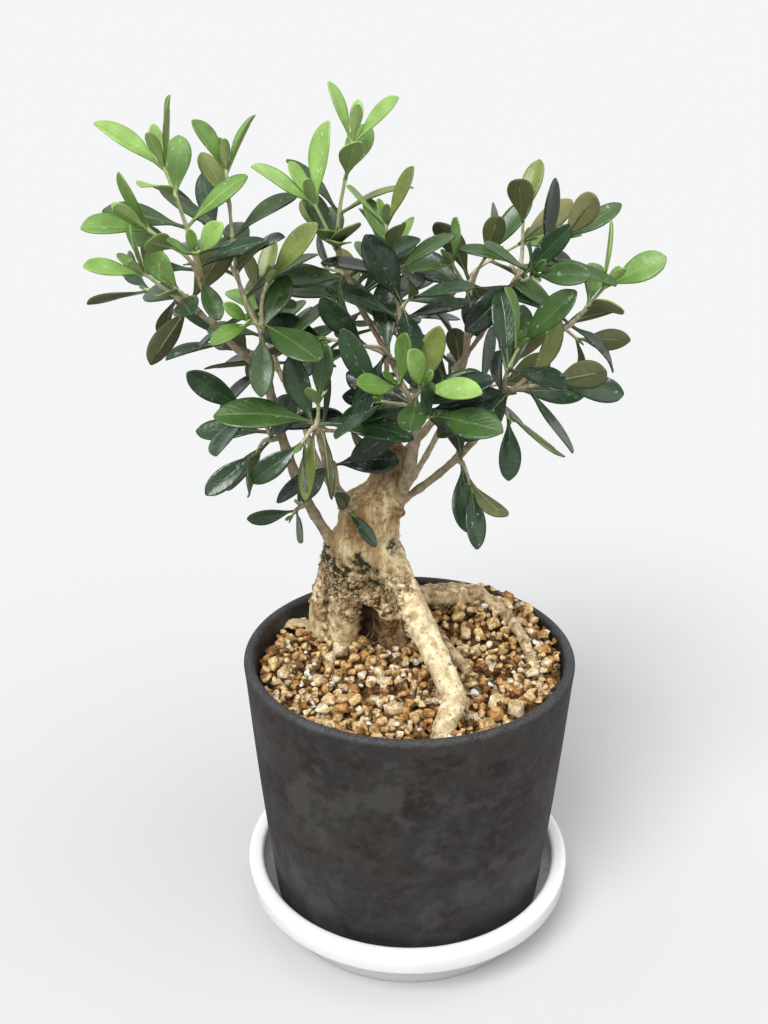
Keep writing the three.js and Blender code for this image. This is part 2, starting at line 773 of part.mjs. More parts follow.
// Opposite leaves in pairs, each pair a quarter turn on from the last: the youngest stand
// close along the tip of the shoot, the oldest spread wide near its foot.
function growLeaves(twigs, obstacles) {
  const random = randomFrom(twigs.mass.seed);
  const solids = [];
  for (const shoot of twigs.shoots) {
    const inTheWay = obstacles.filter((other) => other !== shoot.twig);
    for (let pair = 0; pair < shoot.pairs; pair += 1) {
      const age = shoot.pairs > 1 ? pair / (shoot.pairs - 1) : 0.3;
      const place = 1 - LEAF.firstNode * age - LEAF.tipInset / shoot.curve.getLength();
      const foot = shoot.curve.getPointAt(place);
      const shootAxis = shoot.curve.getTangentAt(place);
      for (const side of [0, 180]) {
        const turn = shoot.roll + 90 * pair + side + LEAF.rollJitter * (2 * random() - 1);
        const spread = THREE.MathUtils.lerp(LEAF.tipSplay, LEAF.baseSplay, age);
        const splay = spread + LEAF.splayJitter * (2 * random() - 1);
        const youth = THREE.MathUtils.lerp(shoot.young, 1, Math.sqrt(age));
        const length = shoot.leaf * youth * (0.92 + 0.16 * random());
        for (const [extraTurn, extraSplay] of LEAF_TRIES) {
          const stance = leafStance(
            shootAxis,
            radians(turn + extraTurn),
            radians(splay + extraSplay),
          );
          const leaf = { foot, ...stance, length, bend: LEAF.droop * age };
          const room = boxed(leafSolid(leaf, CLEARANCE), twigs.name);
          if (inTheWay.some((other) => overlaps(room, other))) continue;
          const solid = leafSolid(leaf);
          solids.push(solid);
          obstacles.push(boxed(solid, twigs.name));
          inTheWay.push(obstacles[obstacles.length - 1]);
          break;
        }
      }
    }
  }
  return solids;
}

// ---------------------------------------------------------------- assembly

const plant = new THREE.Group();

function add(name, geometry, colour, roughness) {
  const material = new THREE.MeshStandardMaterial({ color: colour, roughness, metalness: 0 });
  const mesh = new THREE.Mesh(geometry, material);
  mesh.name = name;
  plant.add(mesh);
}

add("saucer", saucerGeometry(), COLOURS.saucer, 0.3);
add("pot", potGeometry(), COLOURS.pot, 0.75);

const trunk = trunkSolid();
const fatTrunk = boxed(trunkSolid(CLEARANCE), "trunk");
add("soil", finished(soilSolid().subtract(fatTrunk.solid)), COLOURS.soil, 0.95);
add("trunk", toGeometry(trunk), COLOURS.bark, 0.9);

const fattened = [fatTrunk];
const ground = boxed(soilSolid(CLEARANCE), "soil");

for (const [name, spec] of Object.entries(ROOTS)) {
  const start = new THREE.Vector3(...spec.start);
  const root = growLimb(spec, start, 8, 9, [...fattened, ground]);
  add(name, finished(root.solid), COLOURS.root, 0.9);
  fattened.push(boxed(root.fat, name));
}

const tips = {};
for (const [name, spec] of Object.entries(BOUGHS)) {
  const start = spec.after ? tips[spec.after].point : new THREE.Vector3(...spec.start);
  const bough = growLimb(spec, start, 7, 6, fattened);
  const [before, tip] = bough.points.slice(-2);
  tips[name] = { point: tip, axis: tip.clone().sub(before).normalize() };
  add(name, finished(bough.solid), COLOURS.bough, 0.9);
  fattened.push(boxed(bough.fat, name));
}

const crown = Object.entries(MASSES).map(([name, mass]) => {
  const [, heading, rise] = mass.shoots[0].path[0];
  const rooted = () => ({
    point: new THREE.Vector3(...mass.foot),
    axis: direction(heading, rise),
  });
  return growTwigs(name, mass, mass.on ? tips[mass.on] : rooted());
});

const obstacles = [...fattened];
for (const twigs of crown) {
  obstacles.push(...twigs.shoots.map((shoot) => shoot.twig));
}
for (const twigs of crown) {
  const leaves = growLeaves(twigs, obstacles);
  const wood = [twigs.stem, ...twigs.shoots.map((shoot) => shoot.twig)];
  const fused = wasm.Manifold.union([...wood.map((piece) => piece.solid), ...leaves]);
  add(twigs.name, finished(clearOf(fused, fattened)), COLOURS.leaf, 0.55);
}

export default plant;
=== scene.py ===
"""A small olive tree in bonsai style, in a charcoal pot that stands in a white saucer.

Sizes are millimetres in the plant's own frame: +Z up, +X to its right, -Y to its front, with
the origin at the middle of the saucer's underside. Headings are degrees round +Z from +X
towards +Y. A mesh is shaped in millimetres and brought to metres when its piece is finished.
"""

import logging
import math
from collections.abc import Callable, Iterable, Sequence
from dataclasses import dataclass, field
from enum import Enum

import bmesh
import bpy
from mathutils import Matrix, Vector, noise
from mathutils.bvhtree import BVHTree


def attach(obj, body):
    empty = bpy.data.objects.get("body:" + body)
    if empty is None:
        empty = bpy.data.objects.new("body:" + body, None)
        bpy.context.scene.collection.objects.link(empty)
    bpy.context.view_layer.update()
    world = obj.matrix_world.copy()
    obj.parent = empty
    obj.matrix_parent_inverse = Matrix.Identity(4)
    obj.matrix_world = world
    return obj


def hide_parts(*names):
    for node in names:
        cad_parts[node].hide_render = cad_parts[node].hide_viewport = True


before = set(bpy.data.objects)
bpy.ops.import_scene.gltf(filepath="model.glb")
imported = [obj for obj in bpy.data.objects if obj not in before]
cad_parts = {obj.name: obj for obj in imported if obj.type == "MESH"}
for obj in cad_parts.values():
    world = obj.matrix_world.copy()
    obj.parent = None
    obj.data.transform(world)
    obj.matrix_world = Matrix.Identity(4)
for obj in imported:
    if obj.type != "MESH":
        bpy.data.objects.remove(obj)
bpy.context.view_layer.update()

log = logging.getLogger("olive")

Colour = tuple[float, float, float]
Stretch = tuple[float, float, float]
Place = tuple[float, float, float]
Tones = tuple[Colour, Colour]
Profile = list[tuple[float, float]]
Form = bmesh.types.BMesh
Mesh = bpy.types.Mesh
Material = bpy.types.Material
Node = bpy.types.Node
NodeTree = bpy.types.NodeTree
Socket = bpy.types.NodeSocket
Barrier = tuple[BVHTree, Vector, Vector, object]

MM = 0.001
CLEARANCE = 0.3
UP = Vector((0, 0, 1))
DEPTH = Vector((0, 1, 0))


# ---- the crown's rule


class Growth(Enum):
    """How old the leaves of a shoot are."""

    OLD = "old"
    MIXED = "mixed"
    FRESH = "fresh"


@dataclass(frozen=True)
class Limb:
    """A root or bough that is walked like a path: each stretch is length, heading, rise."""

    stretches: tuple[Stretch, ...]
    base: float
    tip: float
    start: Place | None = None
    after: str | None = None


@dataclass(frozen=True)
class Shoot:
    """A leafy shoot: its path, its pairs of leaves, and how long and how turned they are."""

    path: tuple[Stretch, ...]
    pairs: int
    leaf: float
    young: float
    roll: float
    growth: Growth = Growth.OLD


@dataclass(frozen=True)
class Mass:
    """A foliage mass: where its stem stands, its seed and its shoots."""

    seed: int
    shoots: tuple[Shoot, ...]
    on: str | None = None
    foot: Place | None = None


OLD, MIXED, FRESH = Growth.OLD, Growth.MIXED, Growth.FRESH

ROOTS = {
    "root_front": Limb(
        ((12, 302, -36), (14, 296, -30), (13, 300, -38), (6, 294, -40), (9, 241, -44)),
        4.4, 3.0, start=(-6, 7, 111),
    ),
    "root_middle": Limb(
        ((13, 356, -38), (11, 302, -9), (17, 298, -12), (6, 296, -40)),
        2.2, 1.2, start=(-6, 19, 93),
    ),
    "root_arch": Limb(((16, 32, -16), (11, 15, -3), (10, 320, 6)), 2.4, 1.9, start=(-9, 22, 93)),
    "root_arch_end": Limb(
        ((5, 305, -3), (10, 300, -6), (11, 288, -12), (10, 282, -16), (9, 277, -34)),
        1.9, 1.4, start=(22.4, 26.5, 89.1),
    ),
}

BOUGHS = {
    "bough_left": Limb(((21, 202, 63), (19, 218, 70), (21, 228, 75)), 2.4, 1.6, (-20, 9, 112)),
    "bough_left_outer": Limb(((9, 199, 43), (8, 191, 50)), 1.4, 1.2, after="bough_left"),
    "bough_left_high": Limb(((11, 200, 75),), 1.1, 0.9, after="bough_left_outer"),
    "bough_left_low": Limb(((8, 214, 45),), 1.0, 0.9, after="bough_left_outer"),
    "bough_left_inner": Limb(((10, 268, 73),), 1.2, 1.0, after="bough_left"),
    "bough_left_front": Limb(((24, 238, 50), (16, 246, 65)), 1.5, 1.1, (-13, 6, 124)),
    "bough_spur": Limb(((11, 218, 64), (10, 240, 74)), 1.4, 1.1, (-15.2, 4.9, 121.5)),
    "bough_centre": Limb(((22, 290, 59), (16, 287, 71)), 2.6, 1.9, (-4, 8, 125)),
    "bough_centre_upper": Limb(((11, 114, 68), (11, 117, 60)), 1.4, 1.1, after="bough_centre"),
    "bough_centre_left": Limb(((17, 122, 41), (13, 148, 54)), 1.3, 1.0, after="bough_centre"),
    "bough_right_low": Limb(((22, 334, 42), (15, 336, 49), (15, 336, 60)), 1.8, 1.2, (-7, 10, 124)),
    "bough_right_outer": Limb(((9, 8, 39), (11, 18, 54)), 1.1, 0.9, after="bough_right_low"),
    "bough_back_right": Limb(((22, 24, 44), (15, 17, 64), (18, 291, 83)), 1.9, 1.2, (-6, 12, 136)),
    "bough_right_upper": Limb(((15, 315, 52), (19, 317, 57)), 1.2, 0.9, (12, 18, 163)),
    "bough_back": Limb(((20, 86, 50), (16, 78, 58), (12, 95, 66)), 1.9, 1.1, (-9, 13, 125)),
    "bough_back_left": Limb(((20, 140, 44), (17, 132, 56), (12, 150, 62)), 1.8, 1.1, (-14, 13, 118)),
    "bough_back_low": Limb(((20, 50, 38), (17, 46, 48)), 1.6, 1.1, (-6, 14, 121)),
}

MASSES = {
    "foliage_left_top": Mass(11, (
        Shoot(((11, 209, 79), (18, 203, 73)), 4, 20, 0.92, 0, FRESH),
        Shoot(((8, 241, 55), (12, 198, 39)), 3, 17, 0.9, 15, FRESH),
        Shoot(((9, 278, 36), (7, 272, 36)), 2, 14, 0.8, 25, FRESH),
    ), on="bough_left_high"),
    "foliage_left_outer": Mass(12, (
        Shoot(((5, 207, 36), (10, 212, 41)), 2, 18, 0.85, 20, FRESH),
        Shoot(((12, 106, -7), (14, 145, 4)), 3, 19, 0.9, 60, OLD),
        Shoot(((4, 263, 42), (5, 213, 43)), 1, 13, 1, 80, FRESH),
    ), on="bough_left_low"),
    "foliage_left_inner": Mass(13, (
        Shoot(((12, 159, 64), (29, 157, 85)), 5, 20, 0.75, 20, MIXED),
        Shoot(((9, 285, 76), (6, 313, 64)), 2, 21, 0.85, 25, MIXED),
        Shoot(((11, 125, 46), (18, 142, 57)), 3, 20, 0.85, 60, OLD),
        Shoot(((7, 277, 28), (7, 250, 24)), 2, 16, 0.8, 10, FRESH),
    ), on="bough_left_inner"),
    "foliage_left_low": Mass(27, (
        Shoot(((3, 225, 5), (4, 245, -30)), 2, 19, 0.95, 70, OLD),
        Shoot(((8, 232, 62), (6, 232, 30)), 2, 21, 0.95, 75, OLD),
    ), foot=(-35.5, -0.3, 150)),
    "foliage_left_front": Mass(14, (
        Shoot(((3, 302, 68), (5, 276, 66)), 2, 24, 0.62, 85, MIXED),
        Shoot(((3, 240, -10), (4, 235, -35)), 2, 19, 0.9, 80, OLD),
        Shoot(((4, 44, -30), (11, 51, -15)), 2, 18, 0.9, 30, OLD),
    ), on="bough_left_front"),
    "foliage_trunk_spur": Mass(15, (
        Shoot(((3, 255, 40), (3, 262, -20)), 2, 18, 0.7, 80, OLD),
    ), on="bough_spur"),
    "foliage_trunk_sprig": Mass(29, (
        Shoot(((2, 290, 20), (3, 300, 0)), 1, 12, 1, 30, OLD),
    ), foot=(-18.7, 1.0, 129.5)),
    "foliage_left_sprig": Mass(30, (
        Shoot(((2, 240, 0), (3, 235, -25)), 1, 14, 1, 60, OLD),
    ), foot=(-28.8, 3.4, 129.5)),
    "foliage_centre_front": Mass(16, (
        Shoot(((8, 261, 40), (8, 286, 37)), 3, 18, 0.95, 0, FRESH),
        Shoot(((7, 249, 39), (9, 241, 40)), 2, 19, 0.9, 30, MIXED),
        Shoot(((7, 280, 4), (7, 288, 22)), 2, 21, 0.9, 10, OLD),
        Shoot(((4, 232, 31), (10, 219, 19)), 2, 21, 0.95, 50, OLD),
    ), on="bough_centre"),
    "foliage_centre_left": Mass(28, (
        Shoot(((3, 250, 44), (8, 195, 25), (9, 180, 10)), 3, 21, 0.95, 70, OLD),
        Shoot(((3, 250, 44), (6, 240, 35), (6, 225, 15)), 2, 19, 0.9, 20, OLD),
    ), foot=(-4.8, 1.8, 169.6)),
    "foliage_centre_upper": Mass(17, (
        Shoot(((8, 180, 85), (19, 225, 77)), 4, 18, 0.85, 20, MIXED),
        Shoot(((7, 279, 54), (6, 300, 40)), 3, 20, 0.85, 30, OLD),
    ), on="bough_centre_upper"),
    "foliage_centre_top": Mass(18, (
        Shoot(((20, 213, 69), (25, 27, 80)), 5, 19, 0.9, 0, FRESH),
        Shoot(((22, 219, 64), (11, 216, 62)), 3, 20, 1, 20, FRESH),
        Shoot(((14, 213, 67), (6, 227, 63)), 2, 20, 0.8, 80, MIXED),
        Shoot(((10, 155, 62), (8, 132, 6)), 3, 18, 0.9, 30, OLD),
    ), on="bough_centre_left"),
    "foliage_right_low": Mass(19, (
        Shoot(((6, 255, 45), (11, 306, 64)), 3, 21, 0.9, 30, MIXED),
        Shoot(((6, 300, 24), (9, 335, 16)), 3, 20, 0.9, 60, OLD),
        Shoot(((3, 227, -32), (6, 300, -41)), 2, 19, 0.9, 20, OLD),
    ), on="bough_right_low"),
    "foliage_right_outer": Mass(20, (
        Shoot(((5, 344, 43), (12, 344, 53)), 3, 18, 0.95, 0, FRESH),
        Shoot(((5, 83, 5), (10, 43, -33)), 2, 15, 0.9, 20, OLD),
    ), on="bough_right_outer"),
    "foliage_right_hang": Mass(21, (
        Shoot(((3, 285, 0), (6, 292, -40)), 2, 19, 0.95, 60, OLD),
    ), foot=(12.6, -0.6, 144.2)),
    "foliage_right_top": Mass(22, (
        Shoot(((6, 0, 73), (6, 319, 59)), 2, 19, 0.9, 70, MIXED),
        Shoot(((6, 241, 44), (8, 229, 49)), 2, 17, 0.85, 20, MIXED),
        Shoot(((7, 80, 36), (16, 16, 29)), 3, 19, 0.9, 50, MIXED),
    ), on="bough_back_right"),
    "foliage_right_upper": Mass(23, (
        Shoot(((5, 0, 81), (10, 255, 84)), 2, 18, 0.85, 70, MIXED),
        Shoot(((6, 333, 39), (10, 335, 45)), 3, 19, 0.9, 60, MIXED),
        Shoot(((7, 275, 4), (7, 286, 24)), 2, 18, 0.85, 10, MIXED),
    ), on="bough_right_upper"),
    "foliage_back": Mass(24, (
        Shoot(((9, 100, 68), (13, 70, 74)), 4, 20, 0.85, 30, MIXED),
        Shoot(((8, 60, 40), (11, 88, 30)), 3, 21, 0.85, 0, OLD),
        Shoot(((8, 140, 36), (12, 120, 20)), 3, 20, 0.85, 60, OLD),
        Shoot(((6, 20, 30), (9, 35, 12)), 2, 19, 0.9, 20, OLD),
    ), on="bough_back"),
    "foliage_back_left": Mass(25, (
        Shoot(((9, 150, 66), (14, 125, 72)), 4, 19, 0.85, 60, MIXED),
        Shoot(((8, 175, 38), (11, 190, 26)), 3, 20, 0.85, 20, OLD),
        Shoot(((8, 110, 34), (11, 100, 16)), 3, 20, 0.85, 50, OLD),
    ), on="bough_back_left"),
    "foliage_back_low": Mass(26, (
        Shoot(((8, 60, 60), (10, 80, 66)), 3, 20, 0.85, 0, OLD),
        Shoot(((7, 20, 30), (10, 8, 14)), 3, 20, 0.9, 60, OLD),
        Shoot(((7, 85, 24), (9, 100, 4)), 3, 19, 0.9, 30, OLD),
    ), on="bough_back_low"),
}


class SeededRandom:
    """A plain linear generator: the same seed gives the same crown."""

    def __init__(self, seed: int) -> None:
        """Start at a seed."""
        self.state = seed

    def __call__(self) -> float:
        """Give the next number from 0 to 1."""
        self.state = (self.state * 1664525 + 1013904223) % 4294967296
        return self.state / 4294967296

    def between(self, low: float, high: float) -> float:
        """Give the next number between two bounds."""
        return low + (high - low) * self()

    def jitter(self, reach: float) -> float:
        """Give the next number between minus and plus a reach."""
        return reach * (2 * self() - 1)

    def vector(self) -> Vector:
        """Give a vector of the next three numbers between minus and plus one."""
        return Vector((self.jitter(1), self.jitter(1), self.jitter(1)))


def mixed(a: float, b: float, share: float) -> float:
    """Give the value that lies a share of the way from a to b."""
    return a + (b - a) * share


def smooth(low: float, high: float, value: float) -> float:
    """Give a smooth step from 0 at low to 1 at high."""
    share = min(max((value - low) / (high - low), 0.0), 1.0)
    return share * share * (3 - 2 * share)


def direction(heading: float, rise: float) -> Vector:
    """Give the unit vector of a heading and a rise above the level, in degrees."""
    turn, climb = math.radians(heading), math.radians(rise)
    level = math.cos(climb)
    return Vector((level * math.cos(turn), level * math.sin(turn), math.sin(climb)))


def walk(start: Vector, stretches: Iterable[Stretch]) -> list[Vector]:
    """Give the points of a path.

    Args:
        start: Where it begins.
        stretches: Length, heading and rise of each stretch.

    Returns:
        The start and the end of each stretch.
    """
    points = [start.copy()]
    for length, heading, rise in stretches:
        points.append(points[-1] + direction(heading, rise) * length)
    return points


class LimbCurve:
    """A smooth curve through points, measured by shares of its length."""

    SAMPLES = 120

    def __init__(self, points: Sequence[Vector]) -> None:
        """Sample the curve and add up its length."""
        self.points = list(points)
        self.samples = [self._at(i / self.SAMPLES) for i in range(self.SAMPLES + 1)]
        self.reached = [0.0]
        for before, after in zip(self.samples, self.samples[1:]):
            self.reached.append(self.reached[-1] + (after - before).length)
        self.length = self.reached[-1]

    def _at(self, t: float) -> Vector:
        """Give the point of a centripetal Catmull-Rom spline at a parameter from 0 to 1.

        Args:
            t: The parameter.

        Returns:
            The point.
        """
        last = len(self.points) - 1
        index = min(int(t * last), last - 1)
        w = t * last - index
        b, c = self.points[index], self.points[index + 1]
        a = self.points[index - 1] if index > 0 else 2 * b - c
        d = self.points[index + 2] if index + 2 <= last else 2 * c - b
        ab, bc, cd = (math.sqrt((q - p).length) for p, q in ((a, b), (b, c), (c, d)))
        enter = ((b - a) / ab - (c - a) / (ab + bc) + (c - b) / bc) * bc
        leave = ((c - b) / bc - (d - b) / (bc + cd) + (d - c) / cd) * bc
        square, cube = 3 * (c - b) - 2 * enter - leave, 2 * (b - c) + enter + leave
        return b + enter * w + square * w**2 + cube * w**3

    def _place(self, share: float) -> tuple[int, float]:
        """Give the sample before a share of the length, and how far past it that lies.

        Args:
            share: The share of the length.

        Returns:
            The sample's index, and the share of the way to the next one.
        """
        goal = min(max(share, 0.0), 1.0) * self.length
        index = 0
        while index < self.SAMPLES - 1 and self.reached[index + 1] < goal:
            index += 1
        return index, (goal - self.reached[index]) / (self.reached[index + 1] - self.reached[index])

    def point(self, share: float) -> Vector:
        """Give the point at a share of the length."""
        index, past = self._place(share)
        return self.samples[index].lerp(self.samples[index + 1], past)

    def tangent(self, share: float) -> Vector:
        """Give the direction at a share of the length."""
        index, _ = self._place(share)
        return (self.samples[index + 1] - self.samples[index]).normalized()

    def run(self, start: float, end: float, steps: int) -> list[Vector]:
        """Give evenly spaced points between two shares of the length."""
        return [self.point(mixed(start, end, i / steps)) for i in range(steps + 1)]


@dataclass
class Skeleton:
    """Every limb's curve, and the tips that the masses stand on."""

    dive: float = -72
    buried_length: float = 6
    limbs: dict[str, tuple[LimbCurve, Limb]] = field(default_factory=dict)
    tips: dict[str, tuple[Vector, Vector]] = field(default_factory=dict)

    def build(self) -> "Skeleton":
        """Walk the roots and then the boughs, each from its start or its parent's tip."""
        for name, limb in {**ROOTS, **BOUGHS}.items():
            start = self.tips[limb.after][0] if limb.after else Vector(limb.start)
            points = walk(start, limb.stretches)
            down = direction(limb.stretches[-1][1], self.dive) * self.buried_length
            buried = [points[-1] + down] if name in ROOTS else []
            self.limbs[name] = (LimbCurve(points + buried), limb)
            self.tips[name] = (points[-1], (points[-1] - points[-2]).normalized())
        return self


# ---- making meshes


def linked(name: str, data: bpy.types.ID) -> bpy.types.Object:
    """Put new data into the scene as an object."""
    made = bpy.data.objects.new(name, data)
    bpy.context.scene.collection.objects.link(made)
    return made


def baked(holder: bpy.types.Object) -> Mesh:
    """Give the mesh that an object comes to with its modifiers, and drop the object."""
    graph = bpy.context.evaluated_depsgraph_get()
    made = bpy.data.meshes.new_from_object(holder.evaluated_get(graph))
    bpy.data.objects.remove(holder)
    return made


def as_mesh(form: Form, name: str) -> Mesh:
    """Turn a form into a mesh, and free the form."""
    mesh = bpy.data.meshes.new(name)
    form.to_mesh(mesh)
    form.free()
    return mesh


class TubeBundle:
    """Many tapering tubes gathered into one mesh."""

    def __init__(self, resolution: int) -> None:
        """Start an empty bundle whose tubes have 4 + 2 x resolution sides."""
        self.curve = bpy.data.curves.new("tubes", "CURVE")
        self.curve.dimensions = "3D"
        self.curve.bevel_depth = 1.0
        self.curve.bevel_resolution = resolution
        self.curve.use_fill_caps = True

    def add(self, points: Sequence[Vector], radii: Sequence[float]) -> None:
        """Add a tube through points with a radius at each.

        Args:
            points: The tube's middle line.
            radii: Its radius at each point.
        """
        spline = self.curve.splines.new("POLY")
        spline.points.add(len(points) - 1)
        for knot, point, radius in zip(spline.points, points, radii):
            knot.co = (*point, 1.0)
            knot.radius = radius

    def mesh(self) -> Mesh:
        """Give the tubes as one mesh of closed bodies, and drop the curve."""
        made = baked(linked("tubes", self.curve))
        bpy.data.curves.remove(self.curve)
        form = bmesh.new()
        form.from_mesh(made)
        bmesh.ops.remove_doubles(form, verts=form.verts, dist=1e-4)
        bmesh.ops.recalc_face_normals(form, faces=form.faces)
        form.to_mesh(made)
        form.free()
        made.materials.clear()
        return made


def applied(mesh: Mesh, kind: str, **settings: object) -> Mesh:
    """Give a copy of a mesh with one modifier applied.

    Args:
        mesh: The mesh, which is removed.
        kind: The modifier's type.
        settings: Its values.

    Returns:
        The new mesh.
    """
    holder = linked("holder", mesh)
    modifier = holder.modifiers.new(kind, kind)
    for name, value in settings.items():
        setattr(modifier, name, value)
    made = baked(holder)
    bpy.data.meshes.remove(mesh)
    return made


def finish_piece(
    name: str,
    form: Mesh | Form,
    materials: Sequence[Material],
    nodes: Iterable[str],
) -> bpy.types.Object:
    """Bring a shape to metres, dress it and set it in the frame.

    Args:
        name: The piece's name.
        form: Its shape, in millimetres.
        materials: Its materials, in the order of its faces' indices.
        nodes: The solids that it stands for.

    Returns:
        The piece's object.
    """
    mesh = as_mesh(form, name) if isinstance(form, Form) else form
    mesh.name = name
    mesh.transform(Matrix.Scale(MM, 4))
    for material in materials:
        mesh.materials.append(material)
    mesh.shade_smooth()
    piece = linked(name, mesh)
    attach(piece, "root")
    wanted = sorted(nodes)
    if wanted:
        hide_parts(*wanted)
    log.info("%s: %d faces", name, len(mesh.polygons))
    return piece


def turned(profile: Profile, steps: int) -> Form:
    """Spin an open profile of radius and height, whose ends lie on the axis, into a body.

    Args:
        profile: Radius and height of each point.
        steps: How many steps go round.

    Returns:
        The form.
    """
    form = bmesh.new()
    knots = [form.verts.new((radius, 0, height)) for radius, height in profile]
    edges = [form.edges.new(pair) for pair in zip(knots, knots[1:])]
    bmesh.ops.spin(
        form, geom=knots + edges, cent=(0, 0, 0), axis=(0, 0, 1), angle=math.tau, steps=steps,
        use_merge=True,
    )
    bmesh.ops.remove_doubles(form, verts=form.verts, dist=1e-4)
    bmesh.ops.recalc_face_normals(form, faces=form.faces)
    return form


def tilted(turning: float, tilt: float) -> Matrix:
    """Give a turn about the upright, after a tilt about X, both in radians."""
    return Matrix.Rotation(turning, 4, "Z") @ Matrix.Rotation(tilt, 4, "X")


def arc(x: float, z: float, radius: float, start: float, end: float, steps: int) -> Profile:
    """Give points of an arc round a centre, between two angles in degrees."""
    angles = [math.radians(mixed(start, end, i / steps)) for i in range(steps + 1)]
    return [(x + radius * math.cos(a), z + radius * math.sin(a)) for a in angles]


# ---- making materials


class Graph:
    """A node tree that is built by naming its nodes and what feeds them."""

    def __init__(self, tree: NodeTree) -> None:
        """Wrap a node tree."""
        self.tree = tree

    def node(
        self, kind: str, inputs: dict[str | int, object] | None = None, **settings: object,
    ) -> Node:
        """Add a node.

        Args:
            kind: Its type.
            inputs: What feeds its sockets: another socket, or a value.
            settings: Its own values.

        Returns:
            The node.
        """
        made = self.tree.nodes.new(kind)
        for name, value in settings.items():
            setattr(made, name, value)
        for name, value in (inputs or {}).items():
            self.feed(made.inputs[name], value)
        return made

    def feed(self, socket: Socket, value: object) -> None:
        """Link a socket to another one, or set its value.

        Args:
            socket: The socket that is fed.
            value: Another socket, or a value.
        """
        if isinstance(value, Socket):
            self.tree.links.new(value, socket)
        else:
            socket.default_value = value

    def mix(self, factor: object, a: object, b: object) -> Socket:
        """Give one colour mixed over another.

        Args:
            factor: How much of the second colour shows.
            a: The first colour.
            b: The second colour.

        Returns:
            The mixed colour.
        """
        made = self.node("ShaderNodeMix", data_type="RGBA", blend_type="MIX")
        for index, value in ((0, factor), (6, a), (7, b)):
            self.feed(made.inputs[index], opaque(value))
        return made.outputs[2]

    def over(self, colour: object, tone: object, mask: object, amount: object) -> Socket:
        """Give a colour with a tone laid over it, by some amount, where a mask shows it."""
        return self.mix(self.times(mask, amount), colour, tone)

    def math(self, operation: str, a: object, b: object = 0.0) -> Socket:
        """Give the result of a sum on one or two values."""
        return self.node("ShaderNodeMath", {0: a, 1: b}, operation=operation).outputs[0]

    def times(self, a: object, b: object) -> Socket:
        """Give the product of two values."""
        return self.math("MULTIPLY", a, b)

    def span(
        self, value: object, low: float, high: float, start: float = 0.0, end: float = 1.0,
    ) -> Socket:
        """Give a value carried from one range to another, and kept in it."""
        sizes = {"Value": value, "From Min": low, "From Max": high, "To Min": start, "To Max": end}
        return self.node("ShaderNodeMapRange", sizes).outputs[0]

    def place(self, scale: Place = (1, 1, 1)) -> Socket:
        """Give the place on the object in metres, stretched along each axis."""
        spot = self.node("ShaderNodeTexCoord").outputs["Object"]
        return self.node("ShaderNodeMapping", {"Vector": spot, "Scale": scale}).outputs[0]

    def height(self) -> Socket:
        """Give the height above the ground in metres."""
        return self.node("ShaderNodeSeparateXYZ", {0: self.place()}).outputs[2]

    def noise(self, vector: object, scale: float, detail: float = 4.0, rough: float = 0.55) -> Socket:
        """Give a cloudy value round one half."""
        sizes = {"Vector": vector, "Scale": scale, "Detail": detail, "Roughness": rough}
        return self.node("ShaderNodeTexNoise", sizes).outputs[0]

    def clouded(self, clouds: tuple, limits: tuple[float, float], tones: Tones) -> Socket:
        """Give two tones that run into each other as clouds do.

        Args:
            clouds: The place, scale, detail and roughness of the clouds.
            limits: Where in the clouds the first tone ends and the second begins.
            tones: The two tones.

        Returns:
            The colour.
        """
        return self.mix(self.span(self.noise(*clouds), *limits), *tones)

    def bump(self, height: object, depth: float, strength: float = 1.0) -> Socket:
        """Give the normal of a relief of some depth in metres."""
        sizes = {"Height": height, "Distance": depth, "Strength": strength}
        return self.node("ShaderNodeBump", sizes).outputs[0]


def opaque(value: object) -> object:
    """Give a colour its fourth number, and leave anything else as it is."""
    return (*value, 1.0) if isinstance(value, tuple) and len(value) == 3 else value


def effect_group(
    name: str, inputs: dict[str, float], build: Callable[[Graph, Node], dict[str, Socket]],
) -> NodeTree:
    """Make a shared effect once.

    Args:
        name: The group's name.
        inputs: Its number inputs and their usual values, besides Vector.
        build: Makes the nodes and gives the value of each output.

    Returns:
        The node group.
    """
    found = bpy.data.node_groups.get(name)
    if found:
        return found
    group = bpy.data.node_groups.new(name, "ShaderNodeTree")
    group.interface.new_socket("Vector", in_out="INPUT", socket_type="NodeSocketVector")
    for label, usual in inputs.items():
        socket = group.interface.new_socket(label, in_out="INPUT", socket_type="NodeSocketFloat")
        socket.default_value = usual
    graph = Graph(group)
    made = build(graph, graph.node("NodeGroupInput"))
    for label in made:
        group.interface.new_socket(label, in_out="OUTPUT", socket_type="NodeSocketFloat")
    graph.node("NodeGroupOutput", made)
    return group


def spots_group() -> NodeTree:
    """Make the effect of scattered round spots of uneven size.

    Returns:
        The node group.
    """

    def build(graph: Graph, source: Node) -> dict[str, Socket]:
        """Keep some cells of a cell pattern, each with a spot of its own size.

        Args:
            graph: The group's graph.
            source: The node with the group's inputs.

        Returns:
            The value of each output.
        """
        vector, scale, spot, share = (
            source.outputs[label] for label in ("Vector", "Scale", "Size", "Share")
        )
        cells = graph.node("ShaderNodeTexVoronoi", {"Vector": vector, "Scale": scale})
        tone = graph.node("ShaderNodeSeparateColor", {0: cells.outputs["Color"]})
        kept = graph.math("LESS_THAN", tone.outputs[0], share)
        size = graph.times(spot, graph.span(tone.outputs[1], 0, 1, 0.4, 1))
        near = graph.math("SUBTRACT", 1.0, graph.math("DIVIDE", cells.outputs["Distance"], size))
        return {"Mask": graph.times(kept, graph.span(near, 0.0, 0.35))}

    return effect_group("Spots", {"Scale": 500.0, "Size": 0.25, "Share": 0.3}, build)


